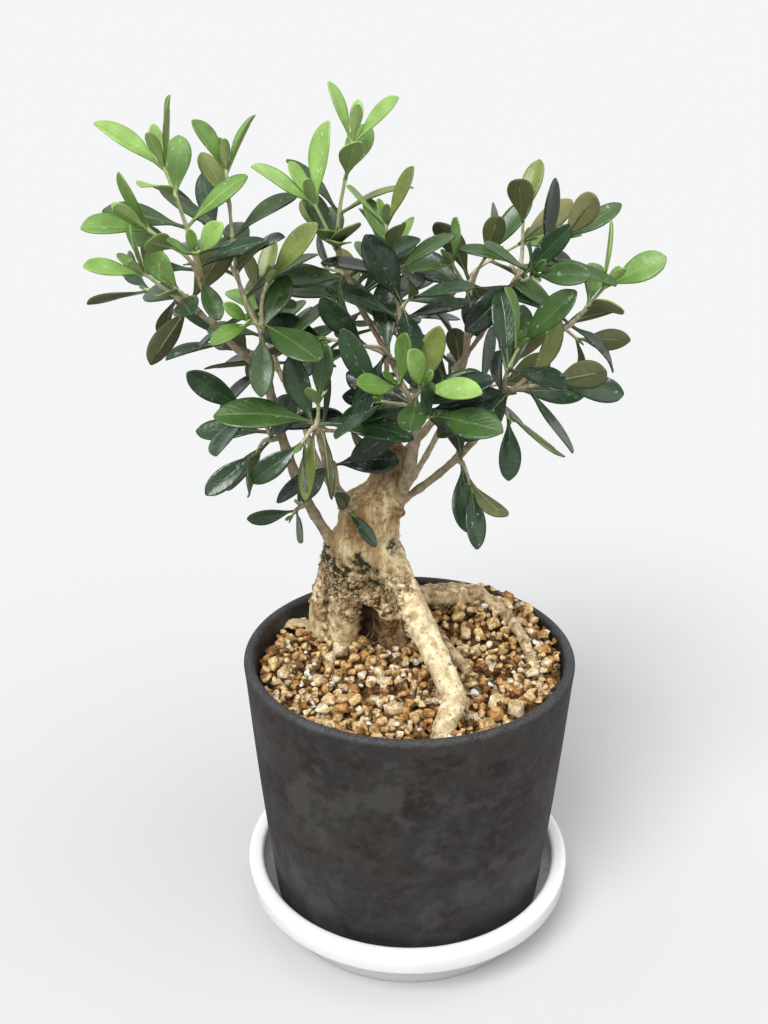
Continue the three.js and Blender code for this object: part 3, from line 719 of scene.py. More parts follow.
def mottle_group() -> NodeTree:
    """Make the effect of soft patches with ragged edges.

    Returns:
        The node group.
    """

    def build(graph: Graph, source: Node) -> dict[str, Socket]:
        """Cut a level out of a cloudy pattern.

        Args:
            graph: The group's graph.
            source: The node with the group's inputs.

        Returns:
            The value of each output.
        """
        clouds = graph.noise(source.outputs["Vector"], source.outputs["Scale"], 6.0, 0.62)
        level, edge = source.outputs["Level"], source.outputs["Edge"]
        above = graph.math("DIVIDE", graph.math("SUBTRACT", clouds, level), edge)
        return {"Mask": graph.span(above, -0.5, 0.5)}

    return effect_group("Mottle", {"Scale": 100.0, "Level": 0.5, "Edge": 0.1}, build)


class Finish:
    """A material under construction: its graph, its shader and its shared effects."""

    def __init__(self, name: str, colour: Colour, roughness: float, **constants: object) -> None:
        """Make a material whose plain values stand on the shader itself.

        Args:
            name: The material's name.
            colour: Its plain colour.
            roughness: Its plain roughness.
            constants: The shader's other values, by the names of its sockets.
        """
        self.material = bpy.data.materials.new(name)
        self.material.use_nodes = True
        self.material.diffuse_color = (*colour, 1.0)
        self.graph = Graph(self.material.node_tree)
        self.shader = self.material.node_tree.nodes["Principled BSDF"]
        self.set("Base Color", opaque(colour))
        self.set("Roughness", roughness)
        for label, value in constants.items():
            self.set(label.replace("_", " ").title().replace("Ior", "IOR"), value)

    def set(self, label: str, value: object) -> None:
        """Feed one of the shader's sockets."""
        self.graph.feed(self.shader.inputs[label], value)

    def spots(self, vector: object, scale: float, size: float, share: float) -> Socket:
        """Give the mask of scattered spots."""
        return self._masked(spots_group(), Vector=vector, Scale=scale, Size=size, Share=share)

    def mottle(self, vector: object, scale: float, level: object, edge: float) -> Socket:
        """Give the mask of soft patches."""
        return self._masked(mottle_group(), Vector=vector, Scale=scale, Level=level, Edge=edge)

    def _masked(self, tree: NodeTree, **sizes: object) -> Socket:
        """Place a shared effect with its own values, and give its mask.

        Args:
            tree: The effect's node group.
            sizes: What feeds its inputs.

        Returns:
            The mask.
        """
        made = self.graph.node("ShaderNodeGroup", node_tree=tree)
        for label, value in sizes.items():
            self.graph.feed(made.inputs[label], value)
        return made.outputs["Mask"]

    def attribute(self, name: str) -> Socket:
        """Give the value that the mesh keeps under a name."""
        return self.graph.node("ShaderNodeAttribute", attribute_name=name).outputs["Fac"]


# ---- wood


@dataclass(frozen=True)
class BarkFinish:
    """The cream bark: its own tones, those of what wears it, grows on it or sticks to it, and painted
    shade in the flare's hollow and cleft.
    """

    plain: Colour = (0.62, 0.50, 0.31)
    cream: Tones = ((0.40, 0.245, 0.10), (0.94, 0.79, 0.47))
    streak: Colour = (0.25, 0.135, 0.052)
    speck: Colour = (0.27, 0.12, 0.045)
    root: Tones = ((0.44, 0.32, 0.165), (0.80, 0.70, 0.46))
    aged_root: Tones = ((0.27, 0.175, 0.09), (0.70, 0.55, 0.33))
    pock: Colour = (0.12, 0.065, 0.028)
    shoot: Tones = ((0.31, 0.25, 0.155), (0.55, 0.475, 0.33))
    stub: Tones = ((0.36, 0.24, 0.13), (0.13, 0.07, 0.033))
    collar: Colour = (0.19, 0.085, 0.038)
    crust: Tones = ((0.115, 0.055, 0.018), (0.90, 0.72, 0.43))
    # wall: the hollow's brown, partly the wood's own and partly painted shade; depth: painted shade where
    # the hollow and the cleft are pushed in.
    wall: Tones = ((0.10, 0.047, 0.020), (0.52, 0.325, 0.16))
    depth: Colour = (0.045, 0.022, 0.010)
    moss: Tones = ((0.040, 0.036, 0.014), (0.52, 0.42, 0.24))
    roots_below: float = 0.108
    boughs_above: float = 0.122
    relief: float = 0.0006

    def material(self) -> Material:
        """Make the bark, from the bare wood up to what lies on it.

        Returns:
            The material.
        """
        finish = Finish("bark", self.plain, 0.85, specular_ior_level=0.18)
        graph, plain = finish.graph, finish.graph.place()
        height = graph.height()
        cloud = graph.noise(graph.place((1, 1, 0.5)), 200, 6, 0.6)
        streaks = graph.noise(graph.place((1, 1, 0.22)), 900, 5, 0.65)
        colour = graph.mix(graph.span(cloud, 0.34, 0.64), *self.cream)
        colour = graph.mix(graph.span(streaks, 0.48, 0.64, 0.0, 0.6), colour, self.streak)
        specks = finish.mottle(plain, 800, graph.span(height, 0.108, 0.130, 0.63, 0.55), 0.08)
        colour = graph.over(colour, self.speck, specks, 0.7)
        limb = finish.attribute("limb")
        rooty = graph.span(height, self.roots_below, 0.100)
        colour = graph.over(colour, self.rooty(finish, plain), limb, rooty)
        shoot = graph.clouded((plain, 500, 4), (0.35, 0.65), self.shoot)
        colour = graph.over(colour, shoot, limb, graph.span(height, self.roots_below, self.boughs_above))
        stub = graph.mix(graph.span(streaks, 0.4, 0.62), *self.stub)
        colour = graph.mix(finish.attribute("stub"), colour, stub)
        collar = graph.times(finish.attribute("collar"), finish.mottle(plain, 420, 0.47, 0.15))
        colour = graph.over(colour, self.collar, collar, 0.75)
        finish.set("Base Color", self.covered(finish, plain, colour))
        finish.set("Roughness", graph.span(cloud, 0.3, 0.7, 0.78, 0.95))
        rough = graph.math("ADD", graph.noise(plain, 1300, 6, 0.7), graph.times(streaks, 0.8))
        finish.set("Normal", graph.bump(rough, self.relief, 0.85))
        return finish.material

    def rooty(self, finish: Finish, plain: Socket) -> Socket:
        """Give the colour of the bared roots, with their aged stretches and their pocks.

        Args:
            finish: The finish under construction.
            plain: The place on the object.

        Returns:
            The colour.
        """
        graph = finish.graph
        young = graph.clouded((plain, 420, 5, 0.6), (0.35, 0.62), self.root)
        aged = graph.clouded((plain, 300, 6, 0.65), (0.38, 0.6), self.aged_root)
        colour = graph.mix(finish.attribute("aged"), young, aged)
        return graph.over(colour, self.pock, finish.mottle(plain, 950, 0.61, 0.05), 0.75)

    def covered(self, finish: Finish, plain: Socket, colour: Socket) -> Socket:
        """Give the colour under its crust, the hollow's brown, which is partly painted shade, the painted
        shade deeper in the hollow and the cleft, and its moss.

        Args:
            finish: The finish under construction.
            plain: The place on the object.
            colour: The bark's own colour.

        Returns:
            The colour with all that lies on it.
        """
        graph = finish.graph
        crumbly = graph.mix(finish.mottle(plain, 420, 0.50, 0.13), *self.crust)
        crust = graph.times(finish.attribute("crust"), finish.mottle(plain, 140, 0.42, 0.14))
        colour = graph.mix(crust, colour, crumbly)
        # The hollow's brown is partly the wood's own and partly painted shade; where the hollow and the
        # cleft are pushed deepest, painted shade darkens it further.
        walls_with_painted_shade = graph.mix(finish.mottle(plain, 340, 0.5, 0.2), *self.wall)
        colour = graph.mix(finish.attribute("brown"), colour, walls_with_painted_shade)
        colour = graph.over(colour, self.depth, finish.attribute("deep"), 0.85)
        mossy = graph.mix(finish.mottle(plain, 640, 0.53, 0.1), *self.moss)
        return graph.mix(finish.attribute("moss"), colour, mossy)


@dataclass(frozen=True)
class BarkRelief:
    """How far, in millimetres, each kind of unevenness raises the skin."""

    trunk_lumps: float = 0.46
    trunk_grain: float = 0.2
    limb_lumps: float = 0.12
    limb_grain: float = 0.06
    root_knots: float = 0.34
    root_grain: float = 0.1
    crumbs: float = 1.15


@dataclass
class Wood:
    """The trunk with its root flare, the bared roots and the pruned boughs, as one skin."""

    skeleton: Skeleton
    base: float = 78.3
    stations: tuple[tuple[float, ...], ...] = (
        (0, -15.0, 22.5, 15.4, 9.4),
        (10, -15.0, 20.0, 14.0, 9.4),
        (20, -14.5, 16.5, 12.8, 9.6),
        (28, -13.8, 13.7, 11.8, 9.6),
        (35, -13.9, 12.0, 10.5, 9.2),
        (42, -11.5, 11.0, 8.7, 8.6),
        (50.5, -10.0, 10.0, 8.4, 8.2),
        (54, -6.6, 10.0, 6.1, 6.0),
        (59, -5.3, 10.0, 5.1, 5.0),
        (66, -6.0, 10.0, 4.2, 4.2),
    )
    buttresses: tuple[tuple[float, ...], ...] = (
        (180, 13, 0.06, 30),
        (218, 12, -0.16, 24),
        (249, 13, 0.1, 26),
        (276, 13, -0.4, 28),
        (304, 17, 0.58, 32),
        (35, 20, 0.14, 20),
        (95, 22, 0.16, 24),
        (140, 18, 0.12, 22),
    )
    moss_spots: tuple[tuple[float, ...], ...] = (
        (-24.0, 32.5, 2.8, 4.4), (-20.0, 28.5, 4.6, 5.0), (-13.5, 32.0, 3.2, 4.4), (-9.5, 29.0, 3.6, 2.8),
        (-3.6, 33.0, 3.4, 5.0), (-18.0, 25.0, 5.0, 3.4), (-6.0, 26.0, 3.0, 2.2),
    )
    foot_slimness: float = 0.66
    tip_slimness: float = 0.8
    node_spacing: float = 7.3
    voxel: float = 0.44
    smoothing: int = 4
    joint_smoothing: int = 14
    joint_band: tuple[float, float] = (20, 42)
    # brown marks the hollow's wall, and deep marks how far the hollow and the cleft are pushed in; the
    # finish paints shade by both.
    layer_names: tuple[str, ...] = ("moss", "crust", "limb", "stub", "brown", "deep", "aged", "collar")
    relief: BarkRelief = BarkRelief()
    finish: BarkFinish = BarkFinish()
    skin: Mesh | None = None

    def along(self, level: float, column: int) -> float:
        """Give a column of the stations at a height, on a smooth curve.

        Args:
            level: The height above the foot.
            column: Which number of the stations.

        Returns:
            The number there.
        """
        rows = self.stations
        index = 0
        while index < len(rows) - 2 and level > rows[index + 1][0]:
            index += 1
        a, b, c, d = (rows[min(max(index + k, 0), len(rows) - 1)] for k in (-1, 0, 1, 2))
        span = c[0] - b[0]
        w = min(max((level - b[0]) / span, 0.0), 1.0)
        enter = (c[column] - a[column]) / ((c[0] - a[0]) or 1) * span
        leave = (d[column] - b[column]) / ((d[0] - b[0]) or 1) * span
        return (
            (2 * w**3 - 3 * w**2 + 1) * b[column] + (w**3 - 2 * w**2 + w) * enter
            + (3 * w**2 - 2 * w**3) * c[column] + (w**3 - w**2) * leave
        )

    def swell(self, angle: float, level: float) -> float:
        """Give how far the buttresses push the trunk's side out, as a factor.

        Args:
            angle: The angle round the column, in radians.
            level: The height above the foot.

        Returns:
            The factor.
        """
        total = 1.0
        for heading, spread, size, top in self.buttresses:
            turn = math.remainder(angle - math.radians(heading), math.tau)
            side = math.exp(-((turn / math.radians(spread)) ** 2))
            total += size * side * min(max(1 - level / top, 0.0), 1.0) ** 1.2
        return total

    def surface(self, angle: float, level: float, reach: float = 1.0, grow: float = 0.0) -> Vector:
        """Give the point of the trunk's side at an angle and a height above its foot.

        Args:
            angle: The angle round the column, in radians.
            level: The height above the foot.
            reach: The share of the way out from the middle.
            grow: How far the side is moved out.

        Returns:
            The point.
        """
        swell = self.swell(angle, level)
        return Vector((
            self.along(level, 1) + math.cos(angle) * reach * (self.along(level, 3) * swell + grow),
            self.along(level, 2) + math.sin(angle) * reach * (self.along(level, 4) * swell + grow),
            self.base + level,
        ))

    def trunk_form(self, sides: int, levels: int, grow: float = 0.0) -> Form:
        """Give the trunk's column as a closed form.

        Args:
            sides: How many sides it has.
            levels: How many rows of faces it has.
            grow: How far its side is moved out.

        Returns:
            The form.
        """
        height = self.stations[-1][0]
        form = bmesh.new()
        bmesh.ops.create_cone(form, cap_ends=True, segments=sides, radius1=1, radius2=1, depth=1)
        rising = [e for e in form.edges if abs(e.verts[0].co.z - e.verts[1].co.z) > 0.5]
        bmesh.ops.subdivide_edges(form, edges=rising, cuts=levels - 1)
        for vert in form.verts:
            level = (vert.co.z + 0.5) * height
            angle, reach = math.atan2(vert.co.y, vert.co.x), math.hypot(vert.co.x, vert.co.y)
            vert.co = self.surface(angle, level, reach, grow)
        return form

    def limb_radii(self, limb: Limb, length: float, shares: Sequence[float], rooted: bool) -> list[float]:
        """Give the radii along a limb, with a collar at its foot and faint rings at its nodes.

        Args:
            limb: The limb.
            length: Its length.
            shares: The shares of the length.
            rooted: Whether it is a root.

        Returns:
            The radius at each share.
        """
        radii = []
        for share in shares:
            along = share * length
            collar = 0.34 * math.exp(-along / 3.2) if limb.start else 0.0
            node = math.remainder(along, self.node_spacing) / 0.8
            ring = 0.0 if rooted else 0.13 * math.exp(-(node**2))
            slim = 1.0 if rooted else mixed(self.foot_slimness, self.tip_slimness, share)
            radii.append(mixed(limb.base, limb.tip, share) * (slim + collar + ring))
        return radii

    def build(self) -> None:
        """Fuse the column and the limbs into one skin and give it the bark's relief."""
        bundle = TubeBundle(4)
        for name, (curve, limb) in self.skeleton.limbs.items():
            steps = max(12, round(curve.length / 1.2))
            shares = [i / steps for i in range(steps + 1)]
            points = curve.run(0, 1, steps)
            radii = self.limb_radii(limb, curve.length, shares, name in ROOTS)
            if name in ROOTS and limb.start:
                points, radii = [self.heart(points[0]), *points], [radii[0] * 1.15, *radii]
            bundle.add(points, radii)
        form = self.trunk_form(72, 60)
        form.from_mesh(bundle.mesh())
        mesh = applied(as_mesh(form, "wood"), "REMESH", mode="VOXEL", voxel_size=self.voxel)
        self.skin = self.relieved(mesh)

    def heart(self, point: Vector) -> Vector:
        """Give a place inside the column, a little above one on its side."""
        level = point.z - self.base + 4
        return point.lerp(Vector((self.along(level, 1), self.along(level, 2), self.base + level)), 0.75)

    def trunk_share(self, point: Vector) -> float:
        """Give 1 on the trunk's column and 0 out on a limb.

        Args:
            point: The place.

        Returns:
            The share.
        """
        level = min(max(point.z - self.base, 0.0), self.stations[-1][0])
        across = (point.x - self.along(level, 1)) / self.along(level, 3)
        deep = (point.y - self.along(level, 2)) / self.along(level, 4)
        swell = self.swell(math.atan2(deep, across), level)
        return 1 - smooth(1.12, 1.55, math.hypot(across, deep) / swell)

    def softened(
        self, form: Form, verts: Iterable[bmesh.types.BMVert], passes: int,
    ) -> None:
        """Smooth some of a form's vertices a number of times."""
        for _ in range(passes):
            bmesh.ops.smooth_vert(
                form, verts=verts, factor=0.5, use_axis_x=True, use_axis_y=True, use_axis_z=True,
            )

    def relieved(self, mesh: Mesh) -> Mesh:
        """Smooth the skin, raise the bark on it, and keep what the finish needs to know.

        Args:
            mesh: The fused skin, which is changed.

        Returns:
            The same mesh.
        """
        form = bmesh.new()
        form.from_mesh(mesh)
        self.softened(form, form.verts, self.smoothing)
        low, high = self.joint_band
        band = [v for v in form.verts if low < v.co.z - self.base < high]
        joint = [v for v in band if self.trunk_share(v.co) > 0.05]
        self.softened(form, joint, self.joint_smoothing)
        form.normal_update()
        feet = [Vector(limb.start) for limb in BOUGHS.values() if limb.start]
        layers = {name: form.verts.layers.float.new(name) for name in self.layer_names}
        ridge = self.skeleton.limbs["root_front"][0].run(0, 1, 16)
        size = self.relief
        for vert in form.verts:
            point = vert.co.copy()
            trunk = self.trunk_share(point)
            height = point.z - self.base
            front = smooth(-0.3, 0.4, -vert.normal.y)
            edge = 3.0 * noise.noise(point / 5.0)
            rooted = (1 - trunk) * smooth(36, 30, height)
            moss = max(trunk, 0.5 * rooted) * self.mossiness(point, height, vert.normal)
            crust = (
                trunk * smooth(10, 15, height + edge) * (1 - smooth(25, 35, height + 1.6 * edge))
                * mixed(0.4, 1.0, front)
            )
            crust = max(crust, rooted * smooth(8, 18, height + edge) * smooth(4, -3, point.x + edge))
            near = min((point - spot).length for spot in ridge) if rooted > 0.3 else 0.0
            aged = rooted * smooth(5.0, 6.5, near)
            crust = max(crust, 0.75 * aged * smooth(-0.1, 0.25, noise.noise(point / 3.4)))
            ragged = 1.3 * noise.noise(point / 1.7)
            across, level = point.x + 0.35 * edge + ragged, height + 0.5 * edge + ragged
            depth, bulge, hollow = (trunk * front * value for value in self.hollow(across, level))
            crust *= 1 - 0.8 * hollow
            grain = noise.fractal(Vector((point.x, point.y, point.z * 0.45)) / 1.5, 0.9, 2.1, 3)
            lumps = noise.fractal(point / 5.5, 1.0, 2.0, 3)
            knots = noise.fractal(point / 3.2, 1.0, 2.0, 3)
            cells = noise.voronoi(point / 2.1)[0][0]
            rise = trunk * (size.trunk_lumps * lumps + size.trunk_grain * grain)
            rise += (1 - trunk) * (size.limb_lumps * lumps + size.limb_grain * grain)
            rise += rooted * (size.root_knots * knots + size.root_grain * grain)
            rise += size.crumbs * max(crust, 0.7 * moss, 0.6 * hollow) * (0.6 - cells)
            vert.co = point + vert.normal * (rise + bulge) + DEPTH * depth
            foot = min((point - spot).length for spot in feet) if 30 < height < 64 else 9.0
            stub = trunk * smooth(54, 60, height + 0.4 * edge)
            collar = smooth(5.0, 2.4, foot + 0.8 * edge)
            # deep grows with how far the hollow and the cleft are pushed in, and the finish paints it as
            # shade.
            values = (moss, crust, 1 - trunk, stub, hollow, smooth(1.0, 3.0, depth), aged, collar)
            for name, value in zip(self.layer_names, values):
                vert[layers[name]] = value
        form.to_mesh(mesh)
        form.free()
        return mesh

    def hollow(self, x: float, height: float) -> tuple[float, float, float]:
        """Shape the flare's front: two feet, the cleft between them, and a hollow under a shelf.

        Args:
            x: The place across the flare.
            height: The place's height above the foot.

        Returns:
            How far the place is pushed in, how far it swells out, and how much it is hollow's wall.
        """
        cleft = math.exp(-(((x + 23.6) / 1.1) ** 2)) * smooth(25, 19, height)
        roof = 18 - 0.72 * (x + 14)
        wall = smooth(-15.4, -13.9, x) * smooth(3, 0, x) * smooth(roof + 0.9, roof - 0.9, height)
        pit = math.exp(-(((x + 11.4) / 2.9) ** 2)) * smooth(roof + 0.5, roof - 2.0, height)
        shelf = math.exp(-(((height - roof - 2.6) / 2.4) ** 2)) * smooth(-18, -14, x) * smooth(5, 1, x)
        foot = math.exp(-(((x + 19.6) / 3.4) ** 2)) * smooth(16, 10, height)
        outer = math.exp(-(((x + 27.4) / 2.6) ** 2)) * smooth(22, 14, height)
        return 2.3 * cleft + wall * (1.3 + 3.0 * pit), 1.3 * shelf + 1.0 * foot + 0.6 * outer, wall

    def mossiness(self, point: Vector, height: float, normal: Vector) -> float:
        """Give how mossy a place is: ragged patches on the front below the lowest boughs.

        Args:
            point: The place.
            height: Its height above the foot.
            normal: Which way the skin looks there.

        Returns:
            How mossy it is, from 0 to 1.
        """
        strength = 0.0
        for x, level, wide, tall in self.moss_spots:
            away = ((point.x - x) / wide) ** 2 + ((height - level) / tall) ** 2
            strength = max(strength, math.exp(-away))
        shade = noise.noise(point / 7.0 + Vector((3, 1, 5)))
        back = (
            smooth(0.1, 0.6, normal.y) * math.exp(-(((height - 24) / 11) ** 2)) * smooth(-0.1, 0.3, shade)
        )
        ragged = noise.fractal(point / 3.2, 0.9, 2.1, 3)
        there = max(strength * smooth(0.5, -0.1, normal.y), 0.7 * back)
        return smooth(0.32, 0.60, there + 0.6 * ragged) * smooth(0.08, 0.25, there)

    def dress(self) -> None:
        """Set the skin in the frame in place of the trunk, roots and boughs."""
        finish_piece("wood", self.skin, [self.finish.material()], ["trunk", *ROOTS, *BOUGHS])


# ---- foliage


class LeafKind(Enum):
    """The kinds of leaf: upper colour, under colour, rib colour and roughness."""

    DARK = ("dark", (0.0064, 0.0190, 0.0078), (0.084, 0.090, 0.038), (0.024, 0.050, 0.019), 0.25)
    DEEP = ("deep", (0.0110, 0.0350, 0.0098), (0.096, 0.106, 0.042), (0.040, 0.084, 0.026), 0.26)
    MID = ("mid", (0.028, 0.067, 0.012), (0.128, 0.148, 0.054), (0.088, 0.150, 0.038), 0.34)
    OLIVE = ("olive", (0.115, 0.148, 0.027), (0.185, 0.182, 0.075), (0.200, 0.225, 0.070), 0.43)
    FRESH = ("fresh", (0.102, 0.194, 0.038), (0.185, 0.240, 0.085), (0.210, 0.320, 0.090), 0.38)
    YOUNG = ("young", (0.190, 0.318, 0.076), (0.225, 0.310, 0.105), (0.290, 0.410, 0.140), 0.42)

    @property
    def label(self) -> str:
        """Give the kind's name."""
        return self.value[0]

    @property
    def slot(self) -> str:
        """Give the record's slot of the kind."""
        return "young_leaf" if self in (LeafKind.FRESH, LeafKind.YOUNG) else "leaf"

    def blade_place(self, graph: Graph) -> tuple[Socket, Socket]:
        """Give the share of the way along the blade, and the distance out from its midrib.

        Args:
            graph: The material's graph.

        Returns:
            The two values.
        """
        own_map = graph.node("ShaderNodeUVMap", uv_map="blade").outputs[0]
        flat = graph.node("ShaderNodeSeparateXYZ", {0: own_map})
        return flat.outputs[0], graph.math("ABSOLUTE", graph.math("SUBTRACT", flat.outputs[1], 0.5))

    def upper(self) -> Material:
        """Make the upper face: glossy, with a pale midrib, faint side veins and pale flecks, partly water
        spots and partly painted sheen.

        Returns:
            The material.
        """
        label, colour, _, rib, roughness = self.value
        is_young = self.slot == "young_leaf"
        finish = Finish(
            f"leaf_{label}_upper", colour, roughness,
            specular_ior_level=0.3 if is_young else 0.5, coat_weight=0.12, coat_roughness=0.14,
        )
        graph, plain = finish.graph, finish.graph.place()
        along, across = self.blade_place(graph)
        midrib = graph.span(across, 0.012, 0.045, 1.0, 0.0)
        slanted = graph.math("SUBTRACT", along, graph.times(across, 0.55))
        veins = graph.span(graph.math("SINE", graph.times(slanted, 75.0)), 0.75, 1.0)
        light = tuple(min(1.0, c * 1.55 + 0.004) for c in colour)
        base = graph.clouded((plain, 160, 3), (0.35, 0.7), (colour, light))
        base = graph.over(base, rib, veins, 0.14)
        base = graph.over(base, rib, midrib, 0.65)
        # Pale flecks over the blade: partly water spots and partly painted sheen.
        splash_and_sheen_patches = finish.mottle(plain, 60, 0.46, 0.2)
        splashes_and_sheen = graph.times(finish.mottle(plain, 560, 0.645, 0.03), splash_and_sheen_patches)
        pale = (0.60, 0.70, 0.50) if is_young else (0.30, 0.35, 0.31)
        finish.set("Base Color", graph.over(base, pale, splashes_and_sheen, 0.65))
        waves = graph.times(graph.noise(plain, 210, 2), 5.0)
        relief = graph.math("ADD", graph.math("SUBTRACT", graph.times(veins, 0.25), midrib), waves)
        finish.set("Normal", graph.bump(relief, 0.00012, 0.7))
        sheen = graph.noise(plain, 700, 3)
        finish.set("Roughness", graph.span(sheen, 0.3, 0.7, roughness - 0.05, roughness + 0.1))
        return finish.material

    def under(self) -> Material:
        """Make the underside: matt, scaly and paler.

        Returns:
            The material.
        """
        label, _, colour, rib, _ = self.value
        finish = Finish(f"leaf_{label}_under", colour, 0.72, specular_ior_level=0.3)
        graph, plain = finish.graph, finish.graph.place()
        _, across = self.blade_place(graph)
        dusty = tuple(c * 1.18 + 0.006 for c in colour)
        base = graph.clouded((plain, 500, 4), (0.35, 0.65), (colour, dusty))
        finish.set("Base Color", graph.mix(graph.span(across, 0.015, 0.05, 0.8, 0.0), base, rib))
        finish.set("Normal", graph.bump(graph.noise(plain, 2600, 3), 0.0001, 0.5))
        return finish.material


@dataclass
class LeafBlade:
    """One leaf where it stands: its root, its axis, its upper face and its own shape."""

    foot: Vector
    axis: Vector
    face: Vector
    length: float
    bend: float
    kind: LeafKind = LeafKind.DARK
    width: float = 0.39
    fold: float = 0.25
    curl: float = 0.0
    sweep: float = 0.0
    twist: float = 0.0
    stalk: float = 0.09
    blunt: float = 0.016

    def settle(self, turn: float, vigour: float) -> None:
        """Turn the blade about its axis towards the plant's front, and grow it a little."""
        face = self.face - DEPTH * turn
        self.face = (face - self.axis * face.dot(self.axis)).normalized()
        self.length *= vigour

    def side(self) -> Vector:
        """Give the direction across the leaf, to the left seen from above."""
        return self.face.cross(self.axis)

    def half(self, t: float) -> float:
        """Give half the blade's width at a share of its length.

        Args:
            t: The share of the length.

        Returns:
            Half the width.
        """
        share = min(max((t - self.stalk) / (1 - self.stalk), 0.0), 1.0)
        outline = math.sin(math.pi * min(share**1.38, 1.0)) if share < 1 else 0.0
        blade = max(outline, 0.0) ** mixed(0.95, 0.46, share) * self.width * self.length / 2
        return max(blade, (0.016 if t < 0.5 else self.blunt) * self.length)

    def middle(self, t: float) -> Vector:
        """Give the place of the midrib at a share of the length."""
        drop = (self.bend * t**2 + self.curl * t**3) * self.length
        away = self.sweep * self.length * math.sin(math.pi * t / 2) ** 2
        return self.foot + self.axis * (t * self.length) - self.face * drop + self.side() * away

    def point(self, t: float, v: float) -> Vector:
        """Give a place on the sheet: t along it, v from -1 to 1 across it.

        Args:
            t: The share of the way along.
            v: The share of the way across.

        Returns:
            The place.
        """
        half = self.half(t) * v
        turn = self.twist * t
        across = self.side() * math.cos(turn) + self.face * math.sin(turn)
        upward = self.face * math.cos(turn) - self.side() * math.sin(turn)
        widest = max(self.width * self.length / 2, 0.1)
        lift = abs(half) * self.fold - 0.16 * self.fold * half * half / widest
        return self.middle(t) + across * half + upward * lift


@dataclass(frozen=True)
class TwigFinish:
    """The smooth skin of twigs and ribs, in two tones."""

    name: str
    dark: Colour
    light: Colour

    def material(self) -> Material:
        """Make the skin.

        Returns:
            The material.
        """
        finish = Finish(self.name, self.light, 0.6)
        graph, plain = finish.graph, finish.graph.place()
        finish.set("Base Color", graph.clouded((plain, 700, 4), (0.35, 0.65), (self.dark, self.light)))
        finish.set("Normal", graph.bump(graph.noise(plain, 2400, 3), 0.00015, 0.5))
        return finish.material


